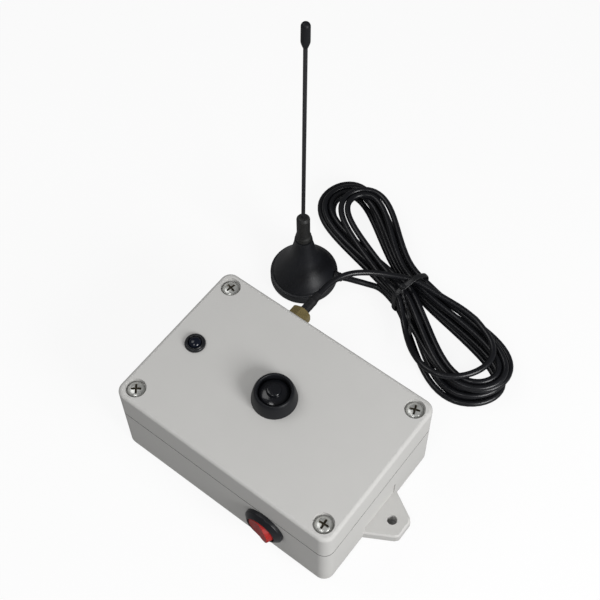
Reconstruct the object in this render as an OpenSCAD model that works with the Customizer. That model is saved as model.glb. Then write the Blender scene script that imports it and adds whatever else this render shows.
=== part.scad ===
// Radio transmitter: a moulded enclosure with a push button, a power rocker and an
// indicator lamp, and a magnetic-foot whip antenna on a coaxial lead.
// Millimetres, +Z up. Origin: centre of the enclosure's underside.
// The rocker faces -Y, the antenna connector faces +Y.

/* [Enclosure] */
// Length of the enclosure without its ears
box_l = 100; // [96:1:112]
// Width of the enclosure
box_w = 68; // [66:1:90]
// Height of the enclosure
box_h = 40; // [39:1:48]
// Height of the parting line above the underside
seam_z = 25; // [24.5:0.5:27]
// Wall thickness
wall = 2.5; // [2:0.1:3]
// Thickness of the floor
floor_t = 2.5; // [2:0.1:3]
// Thickness of the lid's top
lid_t = 2.5; // [2:0.1:3]
// Radius of the vertical corners
corner_r = 4.4; // [3.8:0.1:5]
// Radius of the lid's top edges
top_round = 1.6; // [0.6:0.1:2]
// Radius of the edges round the underside
foot_round = 0.8; // [0.3:0.1:1.2]
// Depth of the locating lip under the lid
lip_h = 2; // [1:0.5:3]
// Thickness of the locating lip
lip_t = 1.1; // [0.8:0.1:1.5]
// Width of the sealing cord in the parting line
gasket_w = 1.1; // [0.8:0.1:1.3]
// Depth of the sealing cord's groove
gasket_h = 0.8; // [0.5:0.1:1.2]

/* [Mounting ears] */
// How far an ear stands out of the end wall
ear_out = 11.8; // [9:0.2:15]
// Width of an ear at the wall
ear_root_w = 22; // [18:1:28]
// Width of an ear at its tip
ear_tip_w = 8.6; // [7:0.2:12]
// Thickness of an ear
ear_t = 4.6; // [3:0.2:6]
// Bevel round the top of an ear
ear_bevel = 0.7; // [0.3:0.1:1]
// Diameter of the hole in an ear
ear_hole_d = 4; // [3:0.1:5]
// Distance of the ear hole from the end wall
ear_hole_out = 5.8; // [4:0.2:7]
// Depth of the moulded recess in the wall above an ear
ear_recess = 0.5; // [0.2:0.1:0.8]

/* [Lid screws] */
// Distance of each screw from the two sides of its corner
screw_in = 6; // [5.8:0.1:7]
// Diameter of the screw's shank
screw_d = 3; // [2.5:0.1:3.5]
// Length of the screw's shank
screw_len = 24; // [18:1:28]
// Diameter of the screw's head
head_d = 6.8; // [5.5:0.1:7.2]
// Height of the screw's head
head_h = 2.2; // [1.6:0.1:2.6]
// Radial gap round a screw's head
head_gap = 0.6; // [0.3:0.1:0.8]
// How deep a screw's head sits under the lid's top
head_sink = 0.4; // [0.1:0.1:1]
// Diameter of the corner columns
post_d = 9; // [8.8:0.1:9.4]

/* [Push button] */
// Diameter of the button's skirt on the lid
skirt_d = 17.7; // [16.5:0.1:20]
// Diameter of the skirt's rim
rim_d = 14.2; // [13.8:0.1:14.6]
// Height of the skirt
skirt_h = 6.6; // [6:0.1:7]
// Diameter of the moving cap
cap_d = 11.8; // [11.2:0.1:12]
// How far the cap's top stands above the skirt
cap_rise = 0.7; // [0.5:0.1:2]
// Diameter of the flat disc on the cap
cap_disc_d = 5.6; // [4:0.2:6]
// Travel of the cap
cap_travel = 2; // [1.5:0.1:2.3]
// Diameter of the threaded neck
neck_d = 11.8; // [11.4:0.1:12.5]
// Length of the neck under the lid's top
neck_len = 13; // [12.5:0.5:14]

/* [Indicator lamp] */
// Distance of the lamp from the enclosure's end
lamp_in = 11.4; // [11:0.2:14]
// Diameter of the lamp holder's flange
lamp_flange_d = 8.2; // [7.5:0.1:9]
// Height of the lamp holder's flange
lamp_flange_h = 1.5; // [1:0.1:2]
// Diameter of the lamp holder's barrel
lamp_barrel_d = 6.4; // [6.2:0.1:7]
// Diameter of the lamp's lens
lamp_d = 5; // [4.6:0.1:5.2]

/* [Power rocker] */
// Distance of the rocker from the enclosure's other end
rocker_in = 28.4; // [26:0.2:32]
// Height of the rocker's centre
rocker_z = 16.4; // [15:0.2:16.4]
// Diameter of the rocker's bezel
bezel_d = 17; // [16.6:0.1:17]
// How far the bezel stands out of the wall
bezel_t = 3.1; // [2.6:0.1:3.4]
// Diameter of the switch's barrel
barrel_d = 14.8; // [14.6:0.1:15.2]
// Diameter of the opening in the bezel
bezel_open_d = 12.4; // [12.2:0.1:12.6]
// Depth of the switch behind the wall's face
barrel_len = 13; // [11:0.5:15]
// Turn of the rocker from off to on
rocker_throw = 24; // [16:1:26]

/* [Antenna connector] */
// Distance of the connector from the enclosure's end
jack_in = 28.2; // [26:0.2:30]
// Height of the connector's centre
jack_z = 20; // [18:0.5:20.5]
// Thread diameter of the jack
jack_d = 6.35; // [6:0.05:6.6]
// Width across the flats of the nuts
nut_af = 8; // [7.8:0.1:9]
// Length of the coupling nut
coupling_len = 8; // [7:0.5:9]
// Length of the sleeve over the crimp
boot_len = 10; // [8:0.5:14]

/* [Antenna] */
// Diameter of the antenna's foot
foot_d = 29; // [26:0.5:34]
// Height of the straight band round the foot
foot_band = 5; // [4.6:0.2:6]
// Height of the bell shaped foot
bell_h = 29; // [26:0.5:32]
// Diameter of the collar on the bell
collar_d = 6.7; // [6.2:0.1:7.5]
// Diameter of the ferrule
ferrule_d = 5.6; // [4.8:0.1:6]
// Length of the collar and the ferrule together
ferrule_len = 15; // [12:0.5:18]
// Diameter of the whip
whip_d = 1.3; // [1:0.1:1.6]
// Overall height of the antenna
antenna_h = 154; // [140:1:170]
// Diameter of the whip's end cap
tip_d = 3.4; // [3:0.1:4.5]
// Length of the whip's end cap
tip_len = 13; // [9:0.5:16]
// Length of the cap's taper onto the whip
tip_taper = 2.7; // [1:0.1:4]

/* [Antenna lead] */
// Diameter of the coaxial lead
lead_d = 2.6; // [2.4:0.05:2.7]
// Turns of the lead in the hank
hank_turns = 8; // [4:4:8]
// Height from one layer of the hank to the next
hank_layer = 3.1; // [3.1:0.05:3.4]
// Thickness of the tie round the hank
tie_t = 0.8; // [0.6:0.1:1.2]
// Width of the tie
tie_w = 3.2; // [2.5:0.1:4]

/* [Electronics] */
// Length of the circuit board
board_l = 50.5; // [46:0.5:50.5]
// Width of the circuit board
board_w = 33.5; // [32:0.5:33.5]
// Thickness of the circuit board
board_t = 1.6; // [1:0.2:2]
// Height of the board's standoffs
standoff_h = 5; // [4:0.5:6]
// Diameter of the standoffs
standoff_d = 5; // [4.4:0.2:5.4]
// Length of the battery
battery_l = 46; // [42:0.5:46]
// Width of the battery
battery_w = 26; // [24:0.5:26.5]
// Height of the battery
battery_h = 17; // [15:0.5:17.5]
// Thickness of the pad under the battery
pad_t = 1; // [0.6:0.1:1.2]
// Diameter of a hook-up wire
wire_d = 1.2; // [0.8:0.1:1.4]

/* [Clearances] */
// Radial gap between a fixed piece and its hole
seat_gap = 0.05; // [0.03:0.01:0.08]
// Radial gap of a pin that turns in its hole
pin_gap = 0.08; // [0.05:0.01:0.09]
// Gap round a moving cap or rocker
move_gap = 0.3; // [0.2:0.05:0.4]

/* [Hidden] */
$fn = 48;

abs_grey = [0.56, 0.56, 0.54];
dark = [0.09, 0.09, 0.10];
brass = [0.80, 0.66, 0.34];
zinc = [0.70, 0.70, 0.66];

in_x = box_l / 2 - wall;
in_y = box_w / 2 - wall;
in_r = max(corner_r - wall, 0.5);
lid_under = box_h - lid_t;
post_x = box_l / 2 - screw_in;
post_y = box_w / 2 - screw_in;
pilot_d = screw_d + 2 * seat_gap;
screw_seat = box_h - head_sink - head_h;
gasket_in = (wall - gasket_w) / 2;

// Corners of the enclosure in plan, one for each screw
corners = [[1, 1], [-1, 1], [-1, -1], [1, -1]];

// Push button heights, measured from the lid's outer face
rim_z = box_h + skirt_h;
cap_low = box_h + 2.8;
cap_step = 1.2;
pocket_z = cap_low - cap_travel - 0.4;
web_t = 2;
stem_d = 5;
stop_z = pocket_z - web_t - 0.1;
stop_t = 1.6;
neck_bottom = box_h - neck_len;
neck_floor = 2;
spring_seat = neck_bottom + neck_floor;
spring_top = stop_z - stop_t;
spring_wire = 0.6;
spring_r = 3.9;
spring_turns = 5;
chamber_d = 9.6;
contact_t = 0.5;
contact_z = spring_top - 3.2;
button_lug_x = 2.6;
button_lug_w = 2.8;
button_lug_t = 0.8;
button_lug_z = neck_bottom - 6.5;
nut_t = 2.2;
washer_t = 0.6;
button_nut_af = neck_d + 2.7;

lamp_x = box_l / 2 - lamp_in;
lamp_under = lid_under - 6.5;
lamp_base = lamp_under - 1.2;
lamp_top = box_h + lamp_flange_h;
lamp_nut_t = 2.4;
lamp_nut_d = lamp_barrel_d + 3.6;
lamp_leg = 1.27;
lamp_leg_d = 0.6;
lamp_leg_len = 5;

wall_y = box_w / 2;
rocker_x = box_l / 2 - rocker_in;
bezel_front = wall_y + bezel_t;
flange_t = 1.4;
pivot_y = wall_y + 1.05;
trunnion_d = 1.5;
trunnion_end = bezel_d / 2 - 1;
paddle_r = bezel_open_d / 2 - move_gap;
paddle_front = 2.4;
paddle_back = 3;
paddle_dish = 6;
switch_floor = wall_y - 4.8;
switch_back = wall_y - barrel_len;
spade_w = 4.75;
spade_t = 0.8;
spade_len = 6.5;
spade_x = 3.4;

jack_x = box_l / 2 - jack_in;
thread_gap = 0.09;
jack_flange_t = 2;
jack_stub = 2;
jack_washer_t = 0.6;
jack_nut_t = 2;
jack_nut_y = wall_y + jack_washer_t;
coupling_y = jack_nut_y + jack_nut_t + 0.6;
coupling_end = coupling_y + coupling_len;
coupling_web = 1.2;
plug_flange_t = 0.9;
jack_end = coupling_end - coupling_web - plug_flange_t - 0.25;
jack_bore_d = 4.7;
jack_bore_len = 2.6;
plug_neck_d = 5.2;
plug_shoulder = coupling_end + 0.8;
crimp_d = 3.4;
crimp_end = plug_shoulder + 5.5;
boot_t = 0.3;
boot_end = plug_shoulder + boot_len;

foot_x = -39.9;
foot_y = 69.6;
foot_pad_t = 0.8;
magnet_t = 4;
magnet_d = foot_d - 3;
bell_shoulder = foot_d / 2 - 1.7;
whip_base_z = 18;
relief_turn = 24;
relief_z = 5;
relief_d = 4.4;
relief_from = magnet_d / 2 + 0.3;
relief_to = foot_d / 2 + 2.4;
ferrule_top = bell_h + ferrule_len;
whip_top = antenna_h - 4;

board_x = -38.5;
board_y = -30.5;
board_z = floor_t + standoff_h;
board_top = board_z + board_t;
board_hole_in = 3;
board_screw_d = 1.9;
board_screw_head = 3.8;
module_x = -33;
module_y = -14;
module_l = 22;
module_w = 14;
module_t = 1;
shield_l = 16;
shield_w = 10;
shield_h = 2.6;
battery_x = -7.5;
battery_y = 4.6;
battery_z = floor_t + pad_t;
stud_y = 6.35;
stud_z = battery_z + battery_h / 2;
stud_len = 2.6;
stud_d = 5.6;
snap_t = 5;
snap_w = 25;
snap_h = 12;
block_l = 10;
block_w = 7.5;
block_h = 8;
block_x = board_x + board_l - block_w;
block_y = -17.5;

// Straight lengths, bends and solder points of the hook-up wires
wire_out = 4;
wire_low = 3;
wire_high = 6;
wire_turn = 6;
button_pad_x = 1.8;
button_pad_y = -1;
lamp_pad_x = [-36.8, -35];
lamp_pad_y = [-4.5, -9];
block_wire_y = 6;
block_wire_z = 4;
feed_x = 2.4;
return_x = 4;
return_pad_x = -9.1;
return_pad_y = 0.8;
pigtail_d = 1.8;
pigtail_bend_y = 10;
pigtail_pad_x = 11.2;
pigtail_pad_in = 1.2;

// A plan outline with four round corners
module round_rect(l, w, r) {
    square([l - 2 * r, w], center = true);
    square([l, w - 2 * r], center = true);
    for (c = corners)
        translate([c[0] * (l / 2 - r), c[1] * (w / 2 - r)]) circle(r);
}

// Side profile of a block with its top and bottom edges rounded
module edge_profile(l, z0, z1, rt, rb) {
    translate([-l / 2, z0 + rb]) square([l, z1 - z0 - rt - rb]);
    translate([-l / 2 + rt, z1 - rt - 0.5]) square([l - 2 * rt, rt + 0.5]);
    translate([-l / 2 + rb, z0]) square([l - 2 * rb, rb + 0.5]);
    for (s = [-1, 1]) {
        if (rt > 0) translate([s * (l / 2 - rt), z1 - rt]) circle(rt);
        if (rb > 0) translate([s * (l / 2 - rb), z0 + rb]) circle(rb);
    }
}

// Block with round vertical corners and rounded top or bottom edges
module soft_block(l, w, z0, z1, rc, rt, rb) {
    rotate([90, 0, 0])
        linear_extrude(w - 2 * rc, center = true) edge_profile(l, z0, z1, rt, rb);
    rotate([90, 0, 90])
        linear_extrude(l - 2 * rc, center = true) edge_profile(w, z0, z1, rt, rb);
    for (c = corners)
        translate([c[0] * (l / 2 - rc), c[1] * (w / 2 - rc), 0])
            rotate_extrude() intersection() {
                edge_profile(2 * rc, z0, z1, rt, rb);
                translate([0, z0 - 1]) square([rc + 1, z1 - z0 + 2]);
            }
}

// Straight ring between two plan outlines
module wall_ring(l, w, r, t, h) {
    linear_extrude(h) difference() {
        round_rect(l, w, r);
        round_rect(l - 2 * t, w - 2 * t, max(r - t, 0.4));
    }
}

module at_posts() {
    for (c = corners) translate([c[0] * post_x, c[1] * post_y, 0]) children();
}

// A cylinder that runs along Y from y0 to y1
module rod_y(d, y0, y1) {
    translate([0, y0, 0]) rotate([-90, 0, 0]) cylinder(d = d, h = y1 - y0);
}

module hex_y(af, y0, y1) {
    translate([0, y0, 0]) rotate([-90, 0, 0]) rotate(30)
        cylinder(d = af / cos(30), h = y1 - y0, $fn = 6);
}

// Functions that sweep a round section along a list of points
function unit(v) = v / norm(v);
function heading(p, i) =
    i == 0 ? unit(p[1] - p[0]) :
    i == len(p) - 1 ? unit(p[i] - p[i - 1]) :
    unit(unit(p[i + 1] - p[i]) + unit(p[i] - p[i - 1]));
function section(p, i, r, sides, side_of) =
    let (t = heading(p, i), s = unit(cross(t, side_of)), u = cross(s, t))
    [for (k = [0 : sides - 1])
        let (a = 360 * (k + 0.5) / sides) p[i] + r * (cos(a) * s + sin(a) * u)];

// The vector side_of is one that the path never runs along
module swept_tube(p, d, sides, side_of = [0, 0, 1]) {
    n = len(p);
    points = [for (i = [0 : n - 1]) each section(p, i, d / 2, sides, side_of)];
    faces = concat(
        [for (k = [1 : sides - 2]) [0, k, k + 1]],
        [for (i = [0 : n - 2], k = [0 : sides - 1])
            let (a = i * sides + k, b = i * sides + (k + 1) % sides) [a, a + sides, b]],
        [for (i = [0 : n - 2], k = [0 : sides - 1])
            let (a = i * sides + k, b = i * sides + (k + 1) % sides)
            [b, a + sides, b + sides]],
        [for (k = [1 : sides - 2]) [(n - 1) * sides, (n - 1) * sides + k + 1, (n - 1) * sides + k]]);
    polyhedron(points = points, faces = faces, convexity = 10);
}

// Path with each inner corner rounded off
function rounded(p, r) = concat([p[0]], [for (i = [1 : len(p) - 2]) each
    let (a = p[i - 1] - p[i], b = p[i + 1] - p[i],
        c = min(r, 0.45 * norm(a), 0.45 * norm(b)))
    [for (u = [0, 0.33, 0.67, 1])
        p[i] + (1 - u) * (1 - u) * c * unit(a) + u * u * c * unit(b)]],
    [p[len(p) - 1]]);

// Smooth curve through all points of a path
function smooth(p, steps) = let (n = len(p)) [for (i = [0 : n - 2]) each
    let (a = p[max(i - 1, 0)], b = p[i], c = p[i + 1], d = p[min(i + 2, n - 1)])
    [for (k = [0 : i == n - 2 ? steps : steps - 1]) let (u = k / steps)
        0.5 * (2 * b + (c - a) * u + (2 * a - 5 * b + 4 * c - d) * u * u
            + (3 * b - a - 3 * c + d) * u * u * u)]];

// Hook-up wire with rounded bends
module wire_run(points, d, side_of = [0, 0, 1]) {
    swept_tube(rounded(points, 2.5), d, 8, side_of);
}

// Shape of the hank in its own plan: s runs along it, n across it
hank_at = [1.5, 88];
hank_turn = -17.6;
left_reach = 63.3;
right_reach = 59.3;
left_swell = 12.1;
right_swell = 13.6;
left_ease = 1.12;
right_ease = 1.35;
waist_half = 7.3;
waist_step = 3.3;
left_step = 3.22;
right_step = 3.7;
left_bend = 7.5;
loop_rings = 24;
loop_sides = 6;
lead_sides = 8;
hank_end = hank_turns + 10 / loop_rings;
waist_lift = tie_t + 0.55;
tie_s = 2.5;

// Outermost loop at an angle round the hank
function loop_base(a) =
    let (c = cos(a), k = sin(a), right = c > 0,
        s = right ? right_reach * pow(c, right_ease) : -left_reach * pow(-c, left_ease),
        n = 2.598 * c * c * k * (right ? right_swell : left_swell)
            + waist_half * k * k * k
            + (s < 0 ? left_bend * s * s / (s * s + 484) : 0))
    [s, n];
// Loops run inwards for one layer and outwards for the next
layer_turns = hank_turns / 4;
function loop_inset(t) =
    t > hank_turns ? hank_turns - t :
    let (q = t - 2 * layer_turns * floor(t / (2 * layer_turns)))
    q <= layer_turns ? q : 2 * layer_turns - q;
function ramp(u) = let (v = min(max(u, 0), 1)) v * v * (3 - 2 * v);
// Layers are changed along the lower run, through half a turn
function loop_layer(t) =
    ramp((t - layer_turns) * 2 + 0.5) + ramp((t - 2 * layer_turns) * 2 + 0.5)
    + ramp((t - 3 * layer_turns) * 2 + 0.5);
function hank_point(t) =
    let (a = 270 + 360 * t, c = cos(a), b = loop_base(a),
        e = unit(loop_base(a + 0.05) - loop_base(a - 0.05)),
        step = waist_step + ((c > 0 ? right_step : left_step) - waist_step) * c * c,
        w = b + [-e[1], e[0]] * loop_inset(t) * step,
        lift = waist_lift * exp(-pow((w[0] - tie_s) / 8, 2)))
    [hank_at[0] + w[0] * cos(hank_turn) - w[1] * sin(hank_turn),
     hank_at[1] + w[0] * sin(hank_turn) + w[1] * cos(hank_turn),
     lead_d / 2 + hank_layer * loop_layer(t) + lift];
hank_core = [for (i = [0 : round(hank_end * loop_rings)]) hank_point(i / loop_rings)];
hank_first = hank_core[0] - lead_d * unit(hank_core[1] - hank_core[0]);
hank_last = hank_core[len(hank_core) - 1]
    + lead_d * unit(hank_core[len(hank_core) - 1] - hank_core[len(hank_core) - 2]);
hank_path = concat([hank_first], hank_core, [hank_last]);

// Least gap of the wound lead to itself, on ring points and the points half way between
probe = [for (i = [0 : len(hank_path) - 2]) each
    [hank_path[i], (hank_path[i] + hank_path[i + 1]) / 2]];
least_gap = min([for (i = [0 : len(probe) - 9], j = [i + 8 : len(probe) - 1])
    norm(probe[i] - probe[j])]) - lead_d;
echo(hank_least_gap = least_gap);

// Route of the lead from the connector to the hank
boot_mouth = [-jack_x, crimp_end, jack_z];
lead_route = [
    [-jack_x, boot_end, jack_z], [0.2 - jack_x, boot_end + 5, jack_z],
    [1.5 - jack_x, boot_end + 11.5, jack_z - 0.4], [-17, 73.8, 18.7],
    [-11, 79.9, 17.1], [-4, 84.6, 15.6], [3.4, 89, 14.9], [9, 92, 14.7], [14.5, 94.2, 13.6]];
hank_in = unit(hank_last - hank_core[len(hank_core) - 1]);
lead_path = concat([boot_mouth], smooth(concat(lead_route, [hank_last + lead_d * hank_in]), 3),
    [hank_last]);

// Route of the lead from the antenna's foot to the hank
relief_dir = [cos(relief_turn), sin(relief_turn), 0];
relief_mouth = [foot_x, foot_y, relief_z] + relief_to * relief_dir;
tail_route = [[-18.4, 79.2, 4.4], [-14.6, 81.2, 3.3], [-11.2, 82.9, 2.6], [-8.2, 83.7, 2.5]];
hank_out = unit(hank_core[0] - hank_first);
tail_path = concat([relief_mouth], smooth(concat([relief_mouth + lead_d * relief_dir],
    tail_route, [hank_first - lead_d * hank_out]), 2), [hank_first]);

// Enclosure
module ear_plan(shrink) {
    x0 = box_l / 2 - wall / 2;
    x1 = box_l / 2 + ear_out - shrink;
    y0 = ear_root_w / 2 + (ear_root_w - ear_tip_w) / 2 / ear_out * wall / 2 - shrink;
    y1 = ear_tip_w / 2 - shrink / 2;
    nip = 1.2;
    polygon([[x0, -y0], [x1 - nip, -y1 - nip * 0.57], [x1, -y1 + nip * 0.6],
        [x1, y1 - nip * 0.6], [x1 - nip, y1 + nip * 0.57], [x0, y0]]);
}

module ear() {
    linear_extrude(ear_t - ear_bevel) ear_plan(0);
    hull() {
        translate([0, 0, ear_t - ear_bevel - 0.01]) linear_extrude(0.01) ear_plan(0);
        linear_extrude(ear_t) ear_plan(ear_bevel);
    }
}

module ear_recess_cut() {
    translate([box_l / 2 - ear_recess, -ear_root_w / 2 + 1.4, ear_t])
        cube([ear_recess + 1, ear_root_w - 2.8, 8.6]);
}

module base_ribs() {
    rib = 1.4;
    for (x = [battery_x + 6, battery_x + battery_l - 8])
        translate([x, battery_y - rib - 0.1, floor_t - 0.5]) cube([rib, rib, 6.5]);
    translate([battery_x + battery_l + 0.1, battery_y + 6, floor_t - 0.5]) cube([rib, 9, 6.5]);
}

module enclosure_base() color(abs_grey) {
    difference() {
        union() {
            difference() {
                soft_block(box_l, box_w, 0, seam_z, corner_r, 0, foot_round);
                translate([0, 0, floor_t])
                    linear_extrude(seam_z) round_rect(2 * in_x, 2 * in_y, in_r);
            }
            at_posts() translate([0, 0, floor_t - 0.5])
                cylinder(d = post_d, h = seam_z - floor_t + 0.5);
            for (p = board_holes) translate([p[0], p[1], floor_t - 0.5])
                cylinder(d = standoff_d, h = standoff_h + 0.5);
            base_ribs();
            ear();
            mirror([1, 0, 0]) ear();
        }
        at_posts() translate([0, 0, screw_seat - screw_len - 1])
            cylinder(d = pilot_d, h = screw_len + 2);
        for (p = board_holes) translate([p[0], p[1], floor_t + 0.8])
            cylinder(d = board_screw_d + 2 * seat_gap, h = standoff_h);
        for (s = [-1, 1]) translate([s * (box_l / 2 + ear_hole_out), 0, -1])
            cylinder(d = ear_hole_d, h = ear_t + 2);
        ear_recess_cut();
        mirror([1, 0, 0]) ear_recess_cut();
        translate([rocker_x, 0, rocker_z])
            rod_y(barrel_d + 2 * seat_gap, -wall_y - 1, -wall_y + wall + 1);
        translate([-jack_x, 0, jack_z])
            rod_y(jack_d + 2 * seat_gap, wall_y - wall - 1, wall_y + 1);
        translate([0, 0, seam_z - gasket_h])
            wall_ring(box_l - 2 * gasket_in, box_w - 2 * gasket_in, corner_r - gasket_in,
                gasket_w, gasket_h + 1);
    }
}

module enclosure_lid() color(abs_grey) {
    lip_gap = 0.2;
    difference() {
        union() {
            difference() {
                soft_block(box_l, box_w, seam_z, box_h, corner_r, top_round, 0);
                translate([0, 0, seam_z - 1])
                    linear_extrude(lid_under - seam_z + 1) round_rect(2 * in_x, 2 * in_y, in_r);
            }
            at_posts() translate([0, 0, seam_z]) cylinder(d = post_d, h = box_h - seam_z - 1);
            difference() {
                union() {
                    translate([0, 0, seam_z - lip_h])
                        wall_ring(2 * (in_x - lip_gap), 2 * (in_y - lip_gap),
                            max(in_r - lip_gap, 0.4), lip_t, lip_h + 0.6);
                    translate([0, 0, seam_z])
                        wall_ring(2 * in_x + 0.6, 2 * in_y + 0.6, in_r + 0.3,
                            lip_t + lip_gap + 0.3, 1.2);
                }
                at_posts() translate([0, 0, seam_z - lip_h - 1])
                    cylinder(d = post_d + 2 * lip_gap, h = lip_h + 1);
                translate([-jack_x, 0, jack_z]) rod_y(nut_af + 2, wall_y - wall - 3, wall_y);
                translate([rocker_x, 0, rocker_z])
                    rod_y(barrel_d + 3, -wall_y, -wall_y + wall + 3);
            }
        }
        at_posts() {
            translate([0, 0, screw_seat])
                cylinder(d = head_d + 2 * head_gap, h = head_h + head_sink + 1);
            translate([0, 0, seam_z - 1]) cylinder(d = screw_d + 0.6, h = box_h - seam_z);
        }
        translate([0, 0, lid_under - 1])
            cylinder(d = neck_d + 2 * seat_gap, h = lid_t + 2);
        translate([-lamp_x, 0, lid_under - 1])
            cylinder(d = lamp_barrel_d + 2 * seat_gap, h = lid_t + 2);
    }
}

module lid_gasket() color([0.25, 0.25, 0.25])
    translate([0, 0, seam_z - gasket_h])
        wall_ring(box_l - 2 * gasket_in, box_w - 2 * gasket_in, corner_r - gasket_in,
            gasket_w, gasket_h);

module cross_slot(reach, w, depth) {
    translate([-reach / 2, -w / 2, -depth]) cube([reach, w, depth + 1]);
    translate([-w / 2, -reach / 2, -depth]) cube([w, reach, depth + 1]);
}

module pan_screw(d, len, hd, hh) {
    cylinder(d = hd, h = hh * 0.45);
    difference() {
        translate([0, 0, hh * 0.45]) intersection() {
            scale_r = (pow(hd / 2, 2) + pow(hh * 0.55, 2)) / (2 * hh * 0.55);
            translate([0, 0, hh * 0.55 - scale_r]) sphere(scale_r);
            cylinder(d = hd, h = hh);
        }
        translate([0, 0, hh]) cross_slot(hd * 0.56, hd * 0.13, hh * 0.5);
    }
    translate([0, 0, -len]) cylinder(d = d, h = len);
}

module lid_screws() color(zinc) {
    turns = [20, -12, 38, 5];
    for (i = [0 : 3])
        translate([corners[i][0] * post_x, corners[i][1] * post_y, screw_seat])
            rotate(turns[i]) pan_screw(screw_d, screw_len, head_d, head_h);
}

// Push button
module push_button_bezel() color(dark)
    difference() {
        rotate_extrude() polygon([
            [0, neck_bottom], [neck_d / 2, neck_bottom], [neck_d / 2, box_h],
            [skirt_d / 2, box_h], [skirt_d / 2 - 0.1, box_h + 0.7],
            [skirt_d / 2 - 0.4, box_h + 3], [rim_d / 2 + 0.8, rim_z - 1.6],
            [rim_d / 2 + 0.5, rim_z - 0.8], [rim_d / 2 + 0.3, rim_z - 0.4],
            [rim_d / 2, rim_z], [0, rim_z]]);
        translate([0, 0, rim_z - 0.5])
            cylinder(d1 = cap_d + 2 * move_gap, d2 = cap_d + 2 * move_gap + 1.2, h = 0.6);
        translate([0, 0, pocket_z]) cylinder(d = cap_d + 2 * move_gap, h = skirt_h + 3);
        translate([0, 0, spring_seat]) cylinder(d = chamber_d, h = pocket_z - web_t - spring_seat);
        translate([0, 0, spring_seat]) cylinder(d = stem_d + 2 * pin_gap, h = neck_len);
        for (s = [-1, 1]) translate([s * button_lug_x - button_lug_t / 2, -0.9, neck_bottom - 1])
            cube([button_lug_t, 1.8, neck_floor + 2]);
    }

module push_button_cap() color([0.05, 0.05, 0.06]) {
    top_z = rim_z + cap_rise;
    dome_r = cap_d / 2 + 0.2;
    translate([0, 0, cap_low]) cylinder(d = cap_d, h = 0.6);
    intersection() {
        translate([0, 0, top_z - cap_step - dome_r]) sphere(dome_r, $fn = 96);
        translate([0, 0, cap_low]) cylinder(d = cap_d, h = dome_r);
    }
    translate([0, 0, top_z - cap_step - 1]) cylinder(d = cap_disc_d, h = cap_step + 1);
    translate([0, 0, contact_z]) cylinder(d = stem_d, h = cap_low - contact_z);
    translate([0, 0, stop_z - stop_t]) cylinder(d = chamber_d - 0.8, h = stop_t);
}

module push_button_contact() color(brass)
    translate([0, 0, contact_z - contact_t]) cylinder(d = 6.2, h = contact_t);

// Wire spring between the chamber's floor and the plunger's collar
spring_gap = 0.15;
spring_lift = spring_top - spring_seat - spring_wire - 2 * spring_gap;
spring_path = [for (i = [0 : 8 * spring_turns])
    [spring_r * cos(45 * i), spring_r * sin(45 * i),
     spring_seat + spring_gap + spring_wire / 2 + spring_lift * i / (8 * spring_turns)]];
module push_button_spring() color(zinc) swept_tube(spring_path, spring_wire, 6);

module push_button_washer() color(zinc)
    translate([0, 0, lid_under - washer_t]) difference() {
        cylinder(d = button_nut_af + 1.5, h = washer_t);
        translate([0, 0, -1]) cylinder(d = neck_d + 2 * seat_gap, h = washer_t + 2);
    }

module push_button_nut() color(zinc)
    translate([0, 0, lid_under - washer_t - nut_t]) difference() {
        cylinder(d = button_nut_af / cos(30), h = nut_t, $fn = 6);
        translate([0, 0, -1]) cylinder(d = neck_d + 2 * seat_gap, h = nut_t + 2);
    }

module push_button_terminals() color(brass)
    for (s = [-1, 1]) translate([s * button_lug_x, 0, 0]) difference() {
        union() {
            translate([-button_lug_t / 2, -0.9, neck_bottom])
                cube([button_lug_t, 1.8, contact_z - contact_t - cap_travel - 0.1 - neck_bottom]);
            translate([-button_lug_t / 2, -button_lug_w / 2, button_lug_z])
                cube([button_lug_t, button_lug_w, neck_bottom - button_lug_z]);
        }
        translate([-2, 0, button_lug_z + 2]) rotate([0, 90, 0]) cylinder(d = 1.2, h = 4);
    }

// Indicator lamp
module lamp_holder() color(dark)
    translate([-lamp_x, 0, 0]) difference() {
        rotate_extrude() polygon([
            [0, lamp_under], [lamp_barrel_d / 2, lamp_under], [lamp_barrel_d / 2, box_h],
            [lamp_flange_d / 2, box_h], [lamp_flange_d / 2, box_h + lamp_flange_h * 0.4],
            [lamp_flange_d / 2 - 0.5, box_h + lamp_flange_h * 0.85],
            [lamp_flange_d / 2 - 1, lamp_top], [0, lamp_top]]);
        translate([0, 0, lamp_under - 1])
            cylinder(d = lamp_d + 2 * seat_gap, h = lamp_top - lamp_under + 2);
    }

module lamp_lens() color([0.12, 0.12, 0.16])
    translate([-lamp_x, 0, 0]) {
        translate([0, 0, lamp_base]) cylinder(d = lamp_d + 0.8, h = lamp_under - lamp_base);
        translate([0, 0, lamp_base]) cylinder(d = lamp_d, h = lamp_top - 0.5 - lamp_base);
        translate([0, 0, lamp_top - 0.5]) sphere(d = lamp_d);
    }

module lamp_ring_nut() color(dark)
    translate([-lamp_x, 0, lid_under - lamp_nut_t]) difference() {
        cylinder(d = lamp_nut_d, h = lamp_nut_t);
        translate([0, 0, -1]) cylinder(d = lamp_barrel_d + 2 * seat_gap, h = lamp_nut_t + 2);
    }

module lamp_leads() color(zinc)
    for (s = [-1, 1]) translate([-lamp_x + s * lamp_leg, 0, lamp_base - lamp_leg_len])
        cylinder(d = lamp_leg_d, h = lamp_leg_len);

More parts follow.
